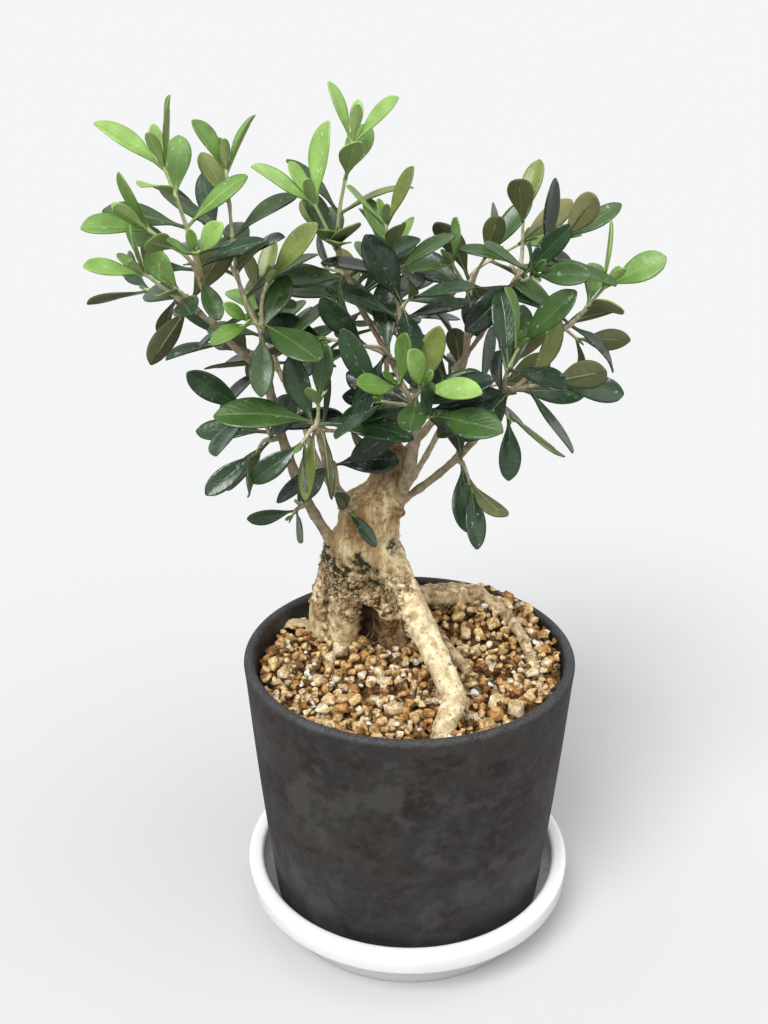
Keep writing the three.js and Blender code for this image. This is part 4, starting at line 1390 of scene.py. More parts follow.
@dataclass
class Foliage:
    """The leafy shoots: opposite pairs of leaves on twigs that grow on from the boughs."""

    skeleton: Skeleton
    wood: Wood
    stem_length: float = 2.4
    stem_radius: float = 1.1
    slimness: float = 0.78
    base_radius: float = 0.95
    tip_radius: float = 0.65
    width_ratio: float = 0.39
    thickness_ratio: float = 0.036
    outline: tuple[tuple[float, float], ...] = ((0, 0.07), (0.55, 1), (1, 0.42))
    crest: float = 0.45
    tested_from: float = 0.2
    tip_splay: float = 31
    base_splay: float = 78
    lowest: float = -0.55
    splay_jitter: float = 9
    roll_jitter: float = 12
    first_node: float = 0.74
    tip_inset: float = 0.9
    light: float = 0.55
    droop: float = 0.13
    stub_radii: tuple[float, float, float] = (0.62, 0.5, 0.4)
    rib_ratio: float = 0.019
    rib_shares: tuple[float, ...] = (0.0, 0.05, 0.12, 0.25, 0.45, 0.65, 0.82)
    bud_pairs: tuple[tuple[float, float, float], ...] = ((2.1, 24, 90), (0.9, 12, 0))
    sheet_thickness: float = 0.36
    sheet_cells: tuple[int, int] = (9, 4)
    settling: dict[str, tuple[float, float]] = field(
        default_factory=lambda: {"leaf": (0.4, 1.03), "young_leaf": (0.8, 0.96)},
    )
    tries: tuple[tuple[float, float], ...] = (
        (0, 0), (18, 4), (-18, 4), (34, -8), (-34, -8), (0, 22), (12, -18),
    )
    old_twigs: TubeBundle = field(default_factory=lambda: TubeBundle(2))
    young_twigs: TubeBundle = field(default_factory=lambda: TubeBundle(2))
    ribs: TubeBundle = field(default_factory=lambda: TubeBundle(1))
    young_ribs: TubeBundle = field(default_factory=lambda: TubeBundle(1))
    blades: list[LeafBlade] = field(default_factory=list)
    homes: dict[LeafKind, set[str]] = field(default_factory=dict)
    barriers: list[Barrier] = field(default_factory=list)

    def barrier(
        self, points: Sequence[Vector], faces: Sequence[Sequence[int]], owner: object,
    ) -> Barrier:
        """Give a tested shape with its box."""
        low = Vector(tuple(min(p[k] for p in points) for k in range(3)))
        high = Vector(tuple(max(p[k] for p in points) for k in range(3)))
        return BVHTree.FromPolygons(points, faces), low, high, owner

    def tube_barrier(
        self, curve: LimbCurve, base: float, tip: float, sides: int, owner: object,
    ) -> Barrier:
        """Give a tested tube along a curve.

        Args:
            curve: The tube's middle line.
            base: Its first radius.
            tip: Its last radius.
            sides: How many sides it has.
            owner: What it belongs to.

        Returns:
            The barrier.
        """
        steps = max(3, round(curve.length / 4))
        points, faces = [], []
        for i in range(steps + 1):
            share = i / steps
            axis = curve.tangent(share)
            flat = axis.orthogonal().normalized()
            deep = axis.cross(flat)
            for k in range(sides):
                turn = math.tau * k / sides
                outward = flat * math.cos(turn) + deep * math.sin(turn)
                points.append(curve.point(share) + outward * mixed(base, tip, share))
        for i in range(steps):
            for k in range(sides):
                n = (k + 1) % sides
                faces.append((i * sides + k, i * sides + n, (i + 1) * sides + n, (i + 1) * sides + k))
        return self.barrier(points, faces, owner)

    def lens(self, blade: LeafBlade, grow: float) -> tuple[list[Vector], list[tuple[int, int, int]]]:
        """Give the leaf's plain lens, the shape that its place is tested with.

        Args:
            blade: The leaf.
            grow: How far it is made larger.

        Returns:
            Its points and its faces.
        """
        begin = self.tested_from if grow > 0 else 0.0
        points = []
        rim = [(k, 1) for k in (0, 1, 2)] + [(k, -1) for k in (2, 1, 0)]
        for station, hand in rim:
            t = max(self.outline[station][0], begin)
            half = self.outline[station][1] * self.width_ratio * blade.length / 2 + grow
            points.append(
                blade.foot + blade.axis * (t * blade.length) + blade.side() * (hand * half)
                - blade.face * (blade.bend * blade.length * t * t)
            )
        for hand in (1, -1):
            thick = self.thickness_ratio * blade.length / 2 + grow
            points.append(
                blade.foot + blade.axis * (self.crest * blade.length)
                + blade.face * (hand * thick - blade.bend * blade.length * self.crest**2)
            )
        faces = [(k, (k + 1) % 6, pole) for k in range(6) for pole in (6, 7)]
        return points, faces

    def is_free(self, blade: LeafBlade, own: object) -> bool:
        """Say whether a leaf stands clear of the limbs, the other twigs and the other leaves.

        Args:
            blade: The leaf.
            own: The twig that it may touch.

        Returns:
            Whether it stands clear.
        """
        tree, low, high, _ = self.barrier(*self.lens(blade, CLEARANCE), None)
        for other, other_low, other_high, owner in self.barriers:
            if owner is not None and owner is own:
                continue
            if any(low[k] > other_high[k] or other_low[k] > high[k] for k in range(3)):
                continue
            if tree.overlap(other):
                return False
        return True

    def stance(self, shoot_axis: Vector, turn: float, splay: float) -> tuple[Vector, Vector]:
        """Give where a leaf points and where its upper face looks.

        Args:
            shoot_axis: The shoot's direction at the leaf.
            turn: The leaf's angle about the shoot, in degrees.
            splay: Its angle away from the shoot, in degrees.

        Returns:
            The leaf's axis and the normal of its upper face.
        """
        turn, splay = math.radians(turn), math.radians(splay)
        flat = DEPTH.cross(shoot_axis).normalized()
        deep = shoot_axis.cross(flat)
        outward = flat * math.cos(turn) + deep * math.sin(turn)
        axis = shoot_axis * math.cos(splay) + outward * math.sin(splay)
        axis.z = max(axis.z, self.lowest)
        axis.normalize()
        face = shoot_axis * math.sin(splay) - outward * math.cos(splay) + UP * self.light
        face -= axis * face.dot(axis)
        return axis, face.normalized()

    def kind_of(self, growth: Growth, age: float, chance: float) -> LeafKind:
        """Choose a leaf's kind from its shoot's growth, its own age and a chance.

        Args:
            growth: The shoot's growth.
            age: The leaf's age, from 0 at the tip to 1.
            chance: A number from 0 to 1.

        Returns:
            The kind.
        """
        if growth is Growth.FRESH:
            if age < 0.4:
                return LeafKind.YOUNG if chance < 0.4 else LeafKind.FRESH
            if age < 0.8:
                return (LeafKind.FRESH, LeafKind.OLIVE, LeafKind.MID)[int(chance * 2.99)]
            return LeafKind.MID if chance < 0.4 else LeafKind.DEEP
        if growth is Growth.MIXED:
            if age < 0.35:
                return (LeafKind.FRESH, LeafKind.MID, LeafKind.OLIVE)[int(chance * 2.99)]
            return (LeafKind.MID, LeafKind.DEEP, LeafKind.DARK)[int(chance * 2.99)]
        if age < 0.35:
            return LeafKind.MID if chance < 0.15 else LeafKind.DEEP
        if chance < 0.07:
            return LeafKind.OLIVE
        return LeafKind.DEEP if chance < 0.4 else LeafKind.DARK

    def build(self) -> None:
        """Grow every mass's twigs and then its leaves, and gather what the meshes need."""
        trunk = self.wood.trunk_form(30, 20, CLEARANCE)
        trunk.verts.index_update()
        self.barriers.append(self.barrier(
            [v.co.copy() for v in trunk.verts], [[v.index for v in f.verts] for f in trunk.faces], None,
        ))
        trunk.free()
        for curve, limb in self.skeleton.limbs.values():
            base, tip = limb.base + CLEARANCE, limb.tip + CLEARANCE
            self.barriers.append(self.tube_barrier(curve, base, tip, 8, None))
        crown = [(name, mass, self.grow_twigs(mass)) for name, mass in MASSES.items()]
        for name, mass, shoots in crown:
            self.grow_leaves(name, mass, shoots)
        for blade in self.blades:
            self.grow_rib(blade)
        log.info("foliage: %d leaves", len(self.blades))

    def grow_twigs(self, mass: Mass) -> list[tuple[Shoot, LimbCurve]]:
        """Grow a mass's stem and shoots.

        Args:
            mass: The foliage mass.

        Returns:
            Each shoot with its curve.
        """
        if mass.on:
            point, axis = self.skeleton.tips[mass.on]
        else:
            point, axis = Vector(mass.foot), direction(*mass.shoots[0].path[0][1:])
        foot = point + axis * CLEARANCE
        fork = foot + axis * (self.stem_length / 2)
        stem, top = self.stem_radius * self.slimness, self.stem_radius * 0.6
        path = [point - axis * 1.2, foot, fork, foot + axis * self.stem_length]
        self.old_twigs.add(path, [stem, stem, stem, top])
        grown = []
        for shoot in mass.shoots:
            curve = LimbCurve(walk(fork, shoot.path))
            self.barriers.append(self.tube_barrier(curve, self.base_radius, self.tip_radius, 3, curve))
            self.dress_twig(shoot, curve)
            grown.append((shoot, curve))
        self.grow_stub(mass, fork)
        return grown

    def grow_stub(self, mass: Mass, fork: Vector) -> None:
        """Leave the short stub of a pruned shoot at a mass's fork."""
        random = SeededRandom(mass.seed * 31 + 7)
        axis = direction(random.between(0, 360), random.between(35, 75))
        reach = random.between(2.4, 4.2)
        path = [fork, fork + axis * reach * 0.9, fork + axis * reach]
        self.old_twigs.add(path, self.stub_radii)

    def node_shares(self, shoot: Shoot, curve: LimbCurve) -> list[float]:
        """Give where along its length a shoot bears its pairs, from its tip down."""
        ages = [pair / (shoot.pairs - 1) if shoot.pairs > 1 else 0.3 for pair in range(shoot.pairs)]
        return [1 - self.first_node * age - self.tip_inset / curve.length for age in ages]

    def dress_twig(self, shoot: Shoot, curve: LimbCurve) -> None:
        """Add a shoot's wood, swollen at its nodes: grey-tan below and green where it is young.

        Args:
            shoot: The shoot.
            curve: Its curve.
        """
        nodes = self.node_shares(shoot, curve)
        turns_green = {Growth.OLD: 0.93, Growth.MIXED: 0.6, Growth.FRESH: 0.4}[shoot.growth]
        steps = max(10, round(curve.length / 0.8))

        def radius(share: float) -> float:
            """Give the twig's radius at a share of its length."""
            near = min(abs(share - node) * curve.length for node in nodes)
            plain = mixed(self.base_radius, self.tip_radius * 0.8, share) * self.slimness
            return plain * (0.86 + 0.36 * math.exp(-((near / 0.9) ** 2)))

        for bundle, start, end, scale in (
            (self.old_twigs, 0.0, turns_green + 0.03, 0.97), (self.young_twigs, turns_green, 1.0, 1.0),
        ):
            count = max(3, round(steps * (end - start)))
            shares = [mixed(start, end, i / count) for i in range(count + 1)]
            bundle.add([curve.point(s) for s in shares], [radius(s) * scale for s in shares])

    def grow_leaves(self, name: str, mass: Mass, shoots: list[tuple[Shoot, LimbCurve]]) -> None:
        """Grow a mass's leaves by the rule, and then the small pairs at its shoots' tips.

        Args:
            name: The mass's name.
            mass: The foliage mass.
            shoots: Its shoots and their curves.
        """
        random, style = SeededRandom(mass.seed), SeededRandom(mass.seed * 977 + 5)
        for shoot, curve in shoots:
            shares = self.node_shares(shoot, curve)
            for pair, place in enumerate(shares):
                age = pair / (shoot.pairs - 1) if shoot.pairs > 1 else 0.3
                foot, shoot_axis = curve.point(place), curve.tangent(place)
                for side in (0, 180):
                    turn = shoot.roll + 90 * pair + side + random.jitter(self.roll_jitter)
                    splay = mixed(self.tip_splay, self.base_splay, age) + random.jitter(self.splay_jitter)
                    youth = mixed(shoot.young, 1, math.sqrt(age))
                    length = shoot.leaf * youth * (0.92 + 0.16 * random())
                    kind = self.kind_of(shoot.growth, age, style())
                    looks = self.looks(style, age)
                    for extra_turn, extra_splay in self.tries:
                        axis, face = self.stance(shoot_axis, turn + extra_turn, splay + extra_splay)
                        blade = LeafBlade(foot, axis, face, length, self.droop * age, kind, **looks)
                        if self.is_free(blade, curve):
                            self.keep(blade, name)
                            turn_to_front, vigour = self.settling[kind.slot]
                            blade.settle(turn_to_front * style(), vigour)
                            break
            self.grow_bud(name, shoot, curve, style)

    def looks(self, style: SeededRandom, age: float) -> dict[str, float]:
        """Draw a leaf's own shape: width, fold along the midrib, curl, sweep and twist.

        Args:
            style: Gives the numbers.
            age: The leaf's age, from 0 to 1.

        Returns:
            The blade's values.
        """
        broad = style() < 0.14
        return {
            "width": style.between(0.44, 0.52) if broad else style.between(0.31, 0.42),
            "fold": style.between(0.08, 0.42) * mixed(1.3, 0.8, age),
            "curl": style.between(-0.08, 0.16),
            "sweep": style.jitter(0.07),
            "twist": style.jitter(0.4),
        }

    def keep(self, blade: LeafBlade, name: str) -> None:
        """Place a leaf: count it in, and keep its lens as a barrier."""
        self.blades.append(blade)
        self.homes.setdefault(blade.kind, set()).add(name)
        self.barriers.append(self.barrier(*self.lens(blade, 0.0), blade))

    def grow_rib(self, blade: LeafBlade) -> None:
        """Give a leaf its stalk, which runs on under the blade as the midrib."""
        bundle = self.young_ribs if blade.kind.slot == "young_leaf" else self.ribs
        thick = self.rib_ratio * blade.length
        radii = [mixed(thick * 1.25, thick * 0.4, t) for t in self.rib_shares]
        places = [
            blade.middle(t) - blade.face * (radius * 0.75) for t, radius in zip(self.rib_shares, radii)
        ]
        bundle.add(places, radii)

    def grow_bud(self, name: str, shoot: Shoot, curve: LimbCurve, style: SeededRandom) -> None:
        """Add the small upright pair at a shoot's tip, and the bud pair that it holds.

        Args:
            name: The mass's name.
            shoot: The shoot.
            curve: Its curve.
            style: Gives the numbers.
        """
        tip, axis = curve.point(1.0), curve.tangent(1.0)
        kind = LeafKind.YOUNG if shoot.growth is Growth.FRESH else LeafKind.FRESH
        length = style.between(3.2, 5.6) if shoot.growth is Growth.FRESH else style.between(2.4, 3.8)
        for grown, splay, turn in self.bud_pairs:
            if grown > 1 and shoot.growth is Growth.OLD:
                continue
            for side in (90, 270):
                roll = shoot.roll + side + turn - 90
                leaf_axis, face = self.stance(axis, roll, splay + style.jitter(7))
                size = length * grown * style.between(0.8, 1.15)
                foot = tip - axis * 0.5
                blade = LeafBlade(foot, leaf_axis, face, size, -0.03, kind, width=0.31, fold=0.5)
                if self.is_free(LeafBlade(tip + axis, leaf_axis, face, size * 0.8, 0.0), curve):
                    self.keep(blade, name)

    def dress(self) -> None:
        """Make the leaves of each kind into one piece, and the twigs and midribs into theirs."""
        for kind, homes in self.homes.items():
            form = bmesh.new()
            sheet = form.loops.layers.uv.new("blade")
            for blade in self.blades:
                if blade.kind is kind:
                    self.add_sheet(form, sheet, blade)
            faces = [kind.upper(), kind.under()]
            piece = finish_piece(f"leaves_{kind.label}", form, faces, homes)
            smoothing = piece.modifiers.new("smoothing", "SUBSURF")
            smoothing.levels = smoothing.render_levels = 1
            shell = piece.modifiers.new("shell", "SOLIDIFY")
            shell.thickness = self.sheet_thickness * MM
            shell.offset = -1
            shell.material_offset = 1
            shell.material_offset_rim = 0
        old = TwigFinish("twig_old", (0.33, 0.275, 0.17), (0.58, 0.51, 0.35))
        young = TwigFinish("twig_young", (0.33, 0.37, 0.17), (0.50, 0.52, 0.28))
        rib = TwigFinish("rib", (0.10, 0.14, 0.06), (0.18, 0.23, 0.10))
        young_rib = TwigFinish("rib_young", (0.26, 0.38, 0.13), (0.38, 0.52, 0.20))
        for name, bundle, finish, slot in (
            ("twigs", self.old_twigs, old, "twig"),
            ("twigs_young", self.young_twigs, young, "twig"),
            ("ribs", self.ribs, rib, "leaf"),
            ("ribs_young", self.young_ribs, young_rib, "young_leaf"),
        ):
            finish_piece(name, bundle.mesh(), [finish.material()], MASSES)

    def add_sheet(
        self, form: Form, sheet: bmesh.types.BMLayerItem, blade: LeafBlade,
    ) -> None:
        """Add a leaf's sheet, laid out along and across in its own map.

        Args:
            form: The form that takes it.
            sheet: The form's own map.
            blade: The leaf.
        """
        along, over = self.sheet_cells
        verts = bmesh.ops.create_grid(form, x_segments=along, y_segments=over, size=0.5)["verts"]
        flat = {vert: (vert.co.x + 0.5, vert.co.y * 2) for vert in verts}
        for face in {face for vert in verts for face in vert.link_faces}:
            for loop in face.loops:
                t, v = flat[loop.vert]
                loop[sheet].uv = (t, v / 2 + 0.5)
        for vert, (t, v) in flat.items():
            vert.co = blade.point(t - 0.07 * math.sin(math.tau * t), v)


# ---- pot, saucer and soil


@dataclass(frozen=True)
class CharcoalFinish:
    """The pot's matt charcoal: brown-grey clouds, smudges, pale dust and specks, and a rim that is
    scuffed and carries a painted highlight.
    """

    plain: Colour = (0.034, 0.034, 0.037)
    clouds: Tones = ((0.0108, 0.0096, 0.0088), (0.0245, 0.0214, 0.0184))
    smudge: Colour = (0.0110, 0.0050, 0.0044)
    mark: Colour = (0.050, 0.047, 0.043)
    dust: Colour = (0.042, 0.039, 0.036)
    # A pale bluish band along the lip: partly scuffs and partly a painted highlight.
    scuff_and_highlight: Colour = (0.085, 0.092, 0.108)
    foot: Colour = (0.020, 0.024, 0.036)
    speck: Colour = (0.12, 0.115, 0.11)
    rim_scuff_and_highlight_band: tuple[float, float] = (0.0842, 0.0858)
    foot_band: tuple[float, float] = (0.040, 0.008)
    relief: float = 0.00032

    def material(self) -> Material:
        """Make the charcoal.

        Returns:
            The material.
        """
        finish = Finish("pot", self.plain, 0.66, specular_ior_level=0.4)
        graph, plain, height = finish.graph, finish.graph.place(), finish.graph.height()
        smeared = graph.place((1, 1, 1.7))
        colour = graph.mix(finish.mottle(smeared, 24, 0.5, 0.3), *self.clouds)
        colour = graph.over(colour, self.smudge, finish.mottle(smeared, 75, 0.55, 0.08), 0.85)
        colour = graph.over(colour, self.mark, finish.mottle(plain, 60, 0.59, 0.07), 0.6)
        colour = graph.over(colour, self.dust, finish.mottle(plain, 330, 0.55, 0.14), 0.42)
        # The lip's band: partly scuffing and partly a painted highlight.
        rim = graph.times(graph.span(height, *self.rim_scuff_and_highlight_band), finish.mottle(plain, 1700, 0.52, 0.2))
        colour = graph.over(colour, self.scuff_and_highlight, rim, 0.5)
        foot = graph.times(graph.span(height, *self.foot_band), finish.mottle(plain, 90, 0.48, 0.3))
        colour = graph.over(colour, self.foot, foot, 0.6)
        colour = graph.over(colour, self.speck, finish.spots(plain, 300, 0.10, 0.22), 0.4)
        finish.set("Base Color", colour)
        finish.set("Roughness", graph.span(graph.noise(smeared, 40, 6), 0.3, 0.7, 0.46, 0.78))
        finish.set("Normal", graph.bump(graph.noise(plain, 700, 7, 0.66), self.relief, 0.7))
        return finish.material


@dataclass
class Pot:
    """The tapered pot, moulded from a charcoal mix, matt and faintly mottled."""

    foot: float = 2.5
    height: float = 83.5
    rim_radius: float = 47.0
    base_radius: float = 39.6
    belly: float = 0.5
    foot_rounding: float = 2.0
    wall: float = 3.05
    floor_thickness: float = 4.0
    drain_radius: float = 6.0
    bend_height: float = 6.0
    sides: int = 160
    finish: CharcoalFinish = CharcoalFinish()

    def radius(self, height: float) -> float:
        """Give the outer radius at a height above the pot's foot."""
        share = height / self.height
        return mixed(self.base_radius, self.rim_radius, share) + self.belly * math.sin(math.pi * share)

    def side(self, inset: float, low: float, high: float, steps: int) -> Profile:
        """Give points up the pot's side, set in by some distance, between two heights."""
        heights = [mixed(low, high, i / steps) for i in range(steps + 1)]
        return [(self.radius(h) - inset, self.foot + h) for h in heights]

    def form(self) -> Form:
        """Turn the pot's wall, with its rounded rim and its drain hole.

        Returns:
            The form.
        """
        top, rim, turn = self.foot + self.height, self.wall / 2, self.foot_rounding
        bend, inside = self.bend_height, self.foot + self.floor_thickness
        profile = [
            (self.drain_radius, self.foot),
            *arc(self.base_radius - turn, self.foot + turn, turn, -90, 0, 6),
            *self.side(0, bend, self.height - bend, 12),
            *arc(self.rim_radius - rim, top - rim, rim, 0, 180, 12),
            *self.side(self.wall, self.height - bend, self.floor_thickness, 10),
            (self.drain_radius, inside),
            (self.drain_radius, self.foot),
        ]
        return turned(profile, self.sides)

    def dress(self) -> None:
        """Set the pot in the frame."""
        finish_piece("pot_body", self.form(), [self.finish.material()], ["pot"])


@dataclass(frozen=True)
class WhiteFinish:
    """The saucer's smooth white plastic, which lets a little light in, with faint scuffs."""

    plain: Colour = (0.84, 0.845, 0.85)
    tones: Tones = ((0.77, 0.775, 0.78), (0.64, 0.63, 0.61))
    depth: float = 0.006

    def material(self) -> Material:
        """Make the plastic.

        Returns:
            The material.
        """
        finish = Finish(
            "saucer", self.plain, 0.3, coat_weight=0.15, coat_roughness=0.15,
            subsurface_weight=0.6, subsurface_radius=(1.0, 1.0, 1.0), subsurface_scale=self.depth,
        )
        graph, plain = finish.graph, finish.graph.place()
        dusty = graph.times(finish.mottle(plain, 60, 0.62, 0.2), 0.25)
        finish.set("Base Color", graph.mix(dusty, *self.tones))
        finish.set("Roughness", graph.span(graph.noise(plain, 120, 5), 0.3, 0.7, 0.24, 0.42))
        finish.set("Normal", graph.bump(graph.noise(plain, 500, 3), 0.00006, 0.4))
        return finish.material


@dataclass
class Saucer:
    """The white saucer with its wide folded rim."""

    foot_radius: float = 39.7
    wall_radius: float = 44.2
    rim_radius: float = 48.5
    rim_inner_radius: float = 44.8
    rim_top: float = 17.8
    skirt_bottom: float = 11.6
    floor_radius: float = 38.6
    floor_thickness: float = 2.2
    wall: float = 1.3
    rounding: float = 1.3
    thinning: float = 0.4
    floor_rounding: float = 1.6
    edge_rounding: float = 0.4
    foot_rise: float = 0.4
    foot_rounding: float = 0.6
    sides: int = 160
    finish: WhiteFinish = WhiteFinish()

    def form(self) -> Form:
        """Turn the saucer's floor, its flared wall and the rim that folds down outside.

        Returns:
            The form.
        """
        under, shoulder = self.rim_top - self.wall, self.rim_top - self.rounding
        foot, turn = self.foot_rounding, self.floor_rounding
        profile = [
            (0, self.foot_rise),
            (self.foot_radius - 3.0, self.foot_rise),
            (self.foot_radius - 2.4, 0),
            *arc(self.foot_radius - foot, foot, foot, -90, -20, 4),
            (self.wall_radius, self.skirt_bottom),
            (self.wall_radius + 0.4, under),
            (self.rim_radius - self.wall - 0.5, under),
            (self.rim_radius - self.wall - 0.2, self.skirt_bottom),
            *arc(self.rim_radius - 0.6, self.skirt_bottom + 0.4, self.edge_rounding, -90, 0, 4),
            *arc(self.rim_radius - self.rounding, shoulder, self.rounding, 0, 90, 8),
            *arc(self.rim_inner_radius + self.rounding - 0.8, shoulder, self.rounding, 90, 180, 8),
            (self.wall_radius - self.wall + self.thinning, self.skirt_bottom),
            (self.floor_radius + 1.6, self.floor_thickness + 2.2),
            *arc(self.floor_radius - 0.6, self.floor_thickness + turn, turn, -10, -90, 5),
            (0, self.floor_thickness),
        ]
        return turned(profile, self.sides)

    def dress(self) -> None:
        """Set the saucer in the frame."""
        finish_piece("saucer_dish", self.form(), [self.finish.material()], ["saucer"])


class Grain(Enum):
    """The kinds of soil grain: name, two tones, share of the count, least and most size."""

    TAN = ("tan", (0.36, 0.175, 0.048), (0.98, 0.74, 0.38), 0.41, 2.0, 6.8)
    RUST = ("rust", (0.23, 0.092, 0.024), (0.76, 0.43, 0.16), 0.17, 2.0, 6.0)
    PALE = ("pale", (0.54, 0.36, 0.16), (1.00, 0.90, 0.64), 0.23, 2.4, 8.2)
    BROWN = ("brown", (0.070, 0.031, 0.010), (0.28, 0.145, 0.052), 0.16, 1.6, 5.0)
    WHITE = ("white", (0.76, 0.74, 0.69), (0.94, 0.93, 0.90), 0.03, 1.6, 3.4)


@dataclass(frozen=True)
class ClayFinish:
    """The dull, pitted skin of baked clay, crumbs and moss, in two tones, with painted shade in its pits.
    """

    name: str
    dark: Colour
    light: Colour
    relief: float = 0.0011

    def material(self) -> Material:
        """Make the skin, with painted shade in its pits.

        Returns:
            The material.
        """
        finish = Finish(self.name, self.light, 0.92, specular_ior_level=0.18)
        graph, plain = finish.graph, finish.graph.place()
        colour = graph.clouded((plain, 420, 6, 0.68), (0.40, 0.60), (self.dark, self.light))
        # The pits are darkened as painted shade.
        shade = tuple(c * 0.5 for c in self.dark)
        pit_shade = finish.mottle(plain, 1100, 0.57, 0.1)
        finish.set("Base Color", graph.over(colour, shade, pit_shade, 0.6))
        finish.set("Normal", graph.bump(graph.noise(plain, 800, 7, 0.72), self.relief))
        return finish.material


@dataclass
class Soil:
    """The bed of baked-clay granules, heaped under the arched root, and what lies about on it."""

    wood: Wood
    pot: Pot
    level: float = 78.0
    heap: tuple[float, ...] = (20, 25, 14, 12, 8.5)
    bank: tuple[float, ...] = (12, 42, 4.0)
    seat_radius: float = 16.5
    seat_blend: float = 8
    count: int = 9000
    pile: float = 3.2
    sink: float = 1.3
    contact: float = 0.40
    stacking: float = 0.62
    cell: int = 6
    stone_shapes: int = 18
    stone_points: int = 14
    wear: float = 0.035
    rows: int = 26
    grain_seed: int = 404
    crumb_seed: int = 77
    tuft_seed: int = 91
    hair_seed: int = 55
    crumb_tries: int = 12000
    crumb_shapes: int = 8
    crumb_size: tuple[float, float] = (0.7, 2.1)
    tuft_tries: int = 48000
    tuft_radii: tuple[float, float, float] = (0.08, 0.065, 0.035)
    hairs_in_hollow: int = 34
    hairs_in_all: int = 60
    flake_place: Place = (-33.7, 23, 82)

    def height(self, x: float, y: float) -> float:
        """Give the soil's height at a place.

        Args:
            x: The place across.
            y: The place in depth.

        Returns:
            The height.
        """
        heap_x, heap_y, spread_x, spread_y, heap_height = self.heap
        start, end, bank_height = self.bank
        spread = ((x - heap_x) / spread_x) ** 2 + ((y - heap_y) / spread_y) ** 2
        rise = heap_height * math.exp(-spread / 2) + bank_height * smooth(start, end, x)
        away = math.hypot(x - self.wood.stations[0][1], y - self.wood.stations[0][2])
        clear = smooth(self.seat_radius, self.seat_radius + self.seat_blend, away)
        return self.level + clear * min(rise, heap_height)

    @property
    def reach(self) -> float:
        """Give the inner radius of the pot at the soil's top."""
        return self.pot.radius(self.level - self.pot.foot) - self.pot.wall

    def bed(self) -> Form:
        """Turn the bed under the granules: a closed body with a lumpy top, a little sunk."""
        sunk, depth = 1.6, 14.0
        edge = self.reach - 0.25
        profile = [(0, self.level - depth), (edge - 1.2, self.level - depth), (edge, self.level - sunk)]
        profile += [(edge * (1 - i / self.rows), self.level - sunk) for i in range(1, self.rows + 1)]
        form = turned(profile, 96)
        for vert in form.verts:
            if vert.co.z > self.level - sunk - 0.01:
                lump = noise.noise(vert.co / 1.9)
                vert.co.z = self.height(vert.co.x, vert.co.y) - sunk + 0.7 * lump
        return form

    def stone(self, random: SeededRandom) -> Mesh:
        """Make one granule of unit size: the hull of a few points, its edges worn.

        Args:
            random: Gives the numbers.

        Returns:
            The stone.
        """
        form = bmesh.new()
        squash = Vector((1.0, random.between(0.72, 1.0), random.between(0.6, 0.9)))
        for _ in range(self.stone_points):
            form.verts.new(random.vector().normalized() * squash * random.between(0.38, 0.56))
        made = bmesh.ops.convex_hull(form, input=form.verts)
        loose = [item for item in made["geom_interior"] if isinstance(item, bmesh.types.BMVert)]
        bmesh.ops.delete(form, geom=loose, context="VERTS")
        bmesh.ops.bevel(
            form, geom=form.edges[:], offset=self.wear, affect="EDGES", segments=1, profile=0.5,
            material=-1, clamp_overlap=True,
        )
        bmesh.ops.recalc_face_normals(form, faces=form.faces)
        return as_mesh(form, "stone")

    def add_stone(
        self, form: Form, stone: Mesh, spot: Vector, turn: Matrix, size: float,
    ) -> None:
        """Add a copy of a stone to a form.

        Args:
            form: The form that takes it.
            stone: The stone, of unit size.
            spot: Where its middle goes.
            turn: How it is turned.
            size: How large it is.
        """
        mesh = stone.copy()
        mesh.transform(Matrix.Translation(spot) @ turn @ Matrix.Scale(size, 4))
        form.from_mesh(mesh)
        bpy.data.meshes.remove(mesh)

    def kind_of(self, chance: float) -> Grain:
        """Choose a grain's kind by its share of the count.

        Args:
            chance: A number from 0 to 1.

        Returns:
            The kind.
        """
        for kind in Grain:
            if chance < kind.value[3]:
                return kind
            chance -= kind.value[3]
        return Grain.TAN

    def scatter(self) -> dict[Grain, Form]:
        """Heap the granules: each lands where it finds room on the bed or between others.

        Returns:
            The form of each kind.
        """
        random = SeededRandom(self.grain_seed)
        stones = [self.stone(random) for _ in range(self.stone_shapes)]
        forms = {grain: bmesh.new() for grain in Grain}
        wood = BVHTree.FromPolygons(
            [v.co.copy() for v in self.wood.skin.vertices],
            [tuple(p.vertices) for p in self.wood.skin.polygons],
        )
        placed: dict[tuple[int, int], list[tuple[Vector, float]]] = {}
        for _ in range(self.count):
            grain = self.kind_of(random())
            size = mixed(grain.value[4], grain.value[5], random() ** 1.7)
            radius = (self.reach - size * 0.45) * math.sqrt(random())
            heading = random.between(0, math.tau)
            x, y = radius * math.cos(heading), radius * math.sin(heading)
            z = self.rest_height(placed, x, y, size)
            turn = tilted(random.between(0, math.tau), random.jitter(0.5))
            spot = Vector((x, y, z))
            pick = stones[int(random() * len(stones)) % len(stones)]
            if z > self.height(x, y) + self.pile or self.is_in_wood(wood, spot, size):
                continue
            placed.setdefault((int(x // self.cell), int(y // self.cell)), []).append((spot, size))
            self.add_stone(forms[grain], pick, spot, turn, size)
        return forms

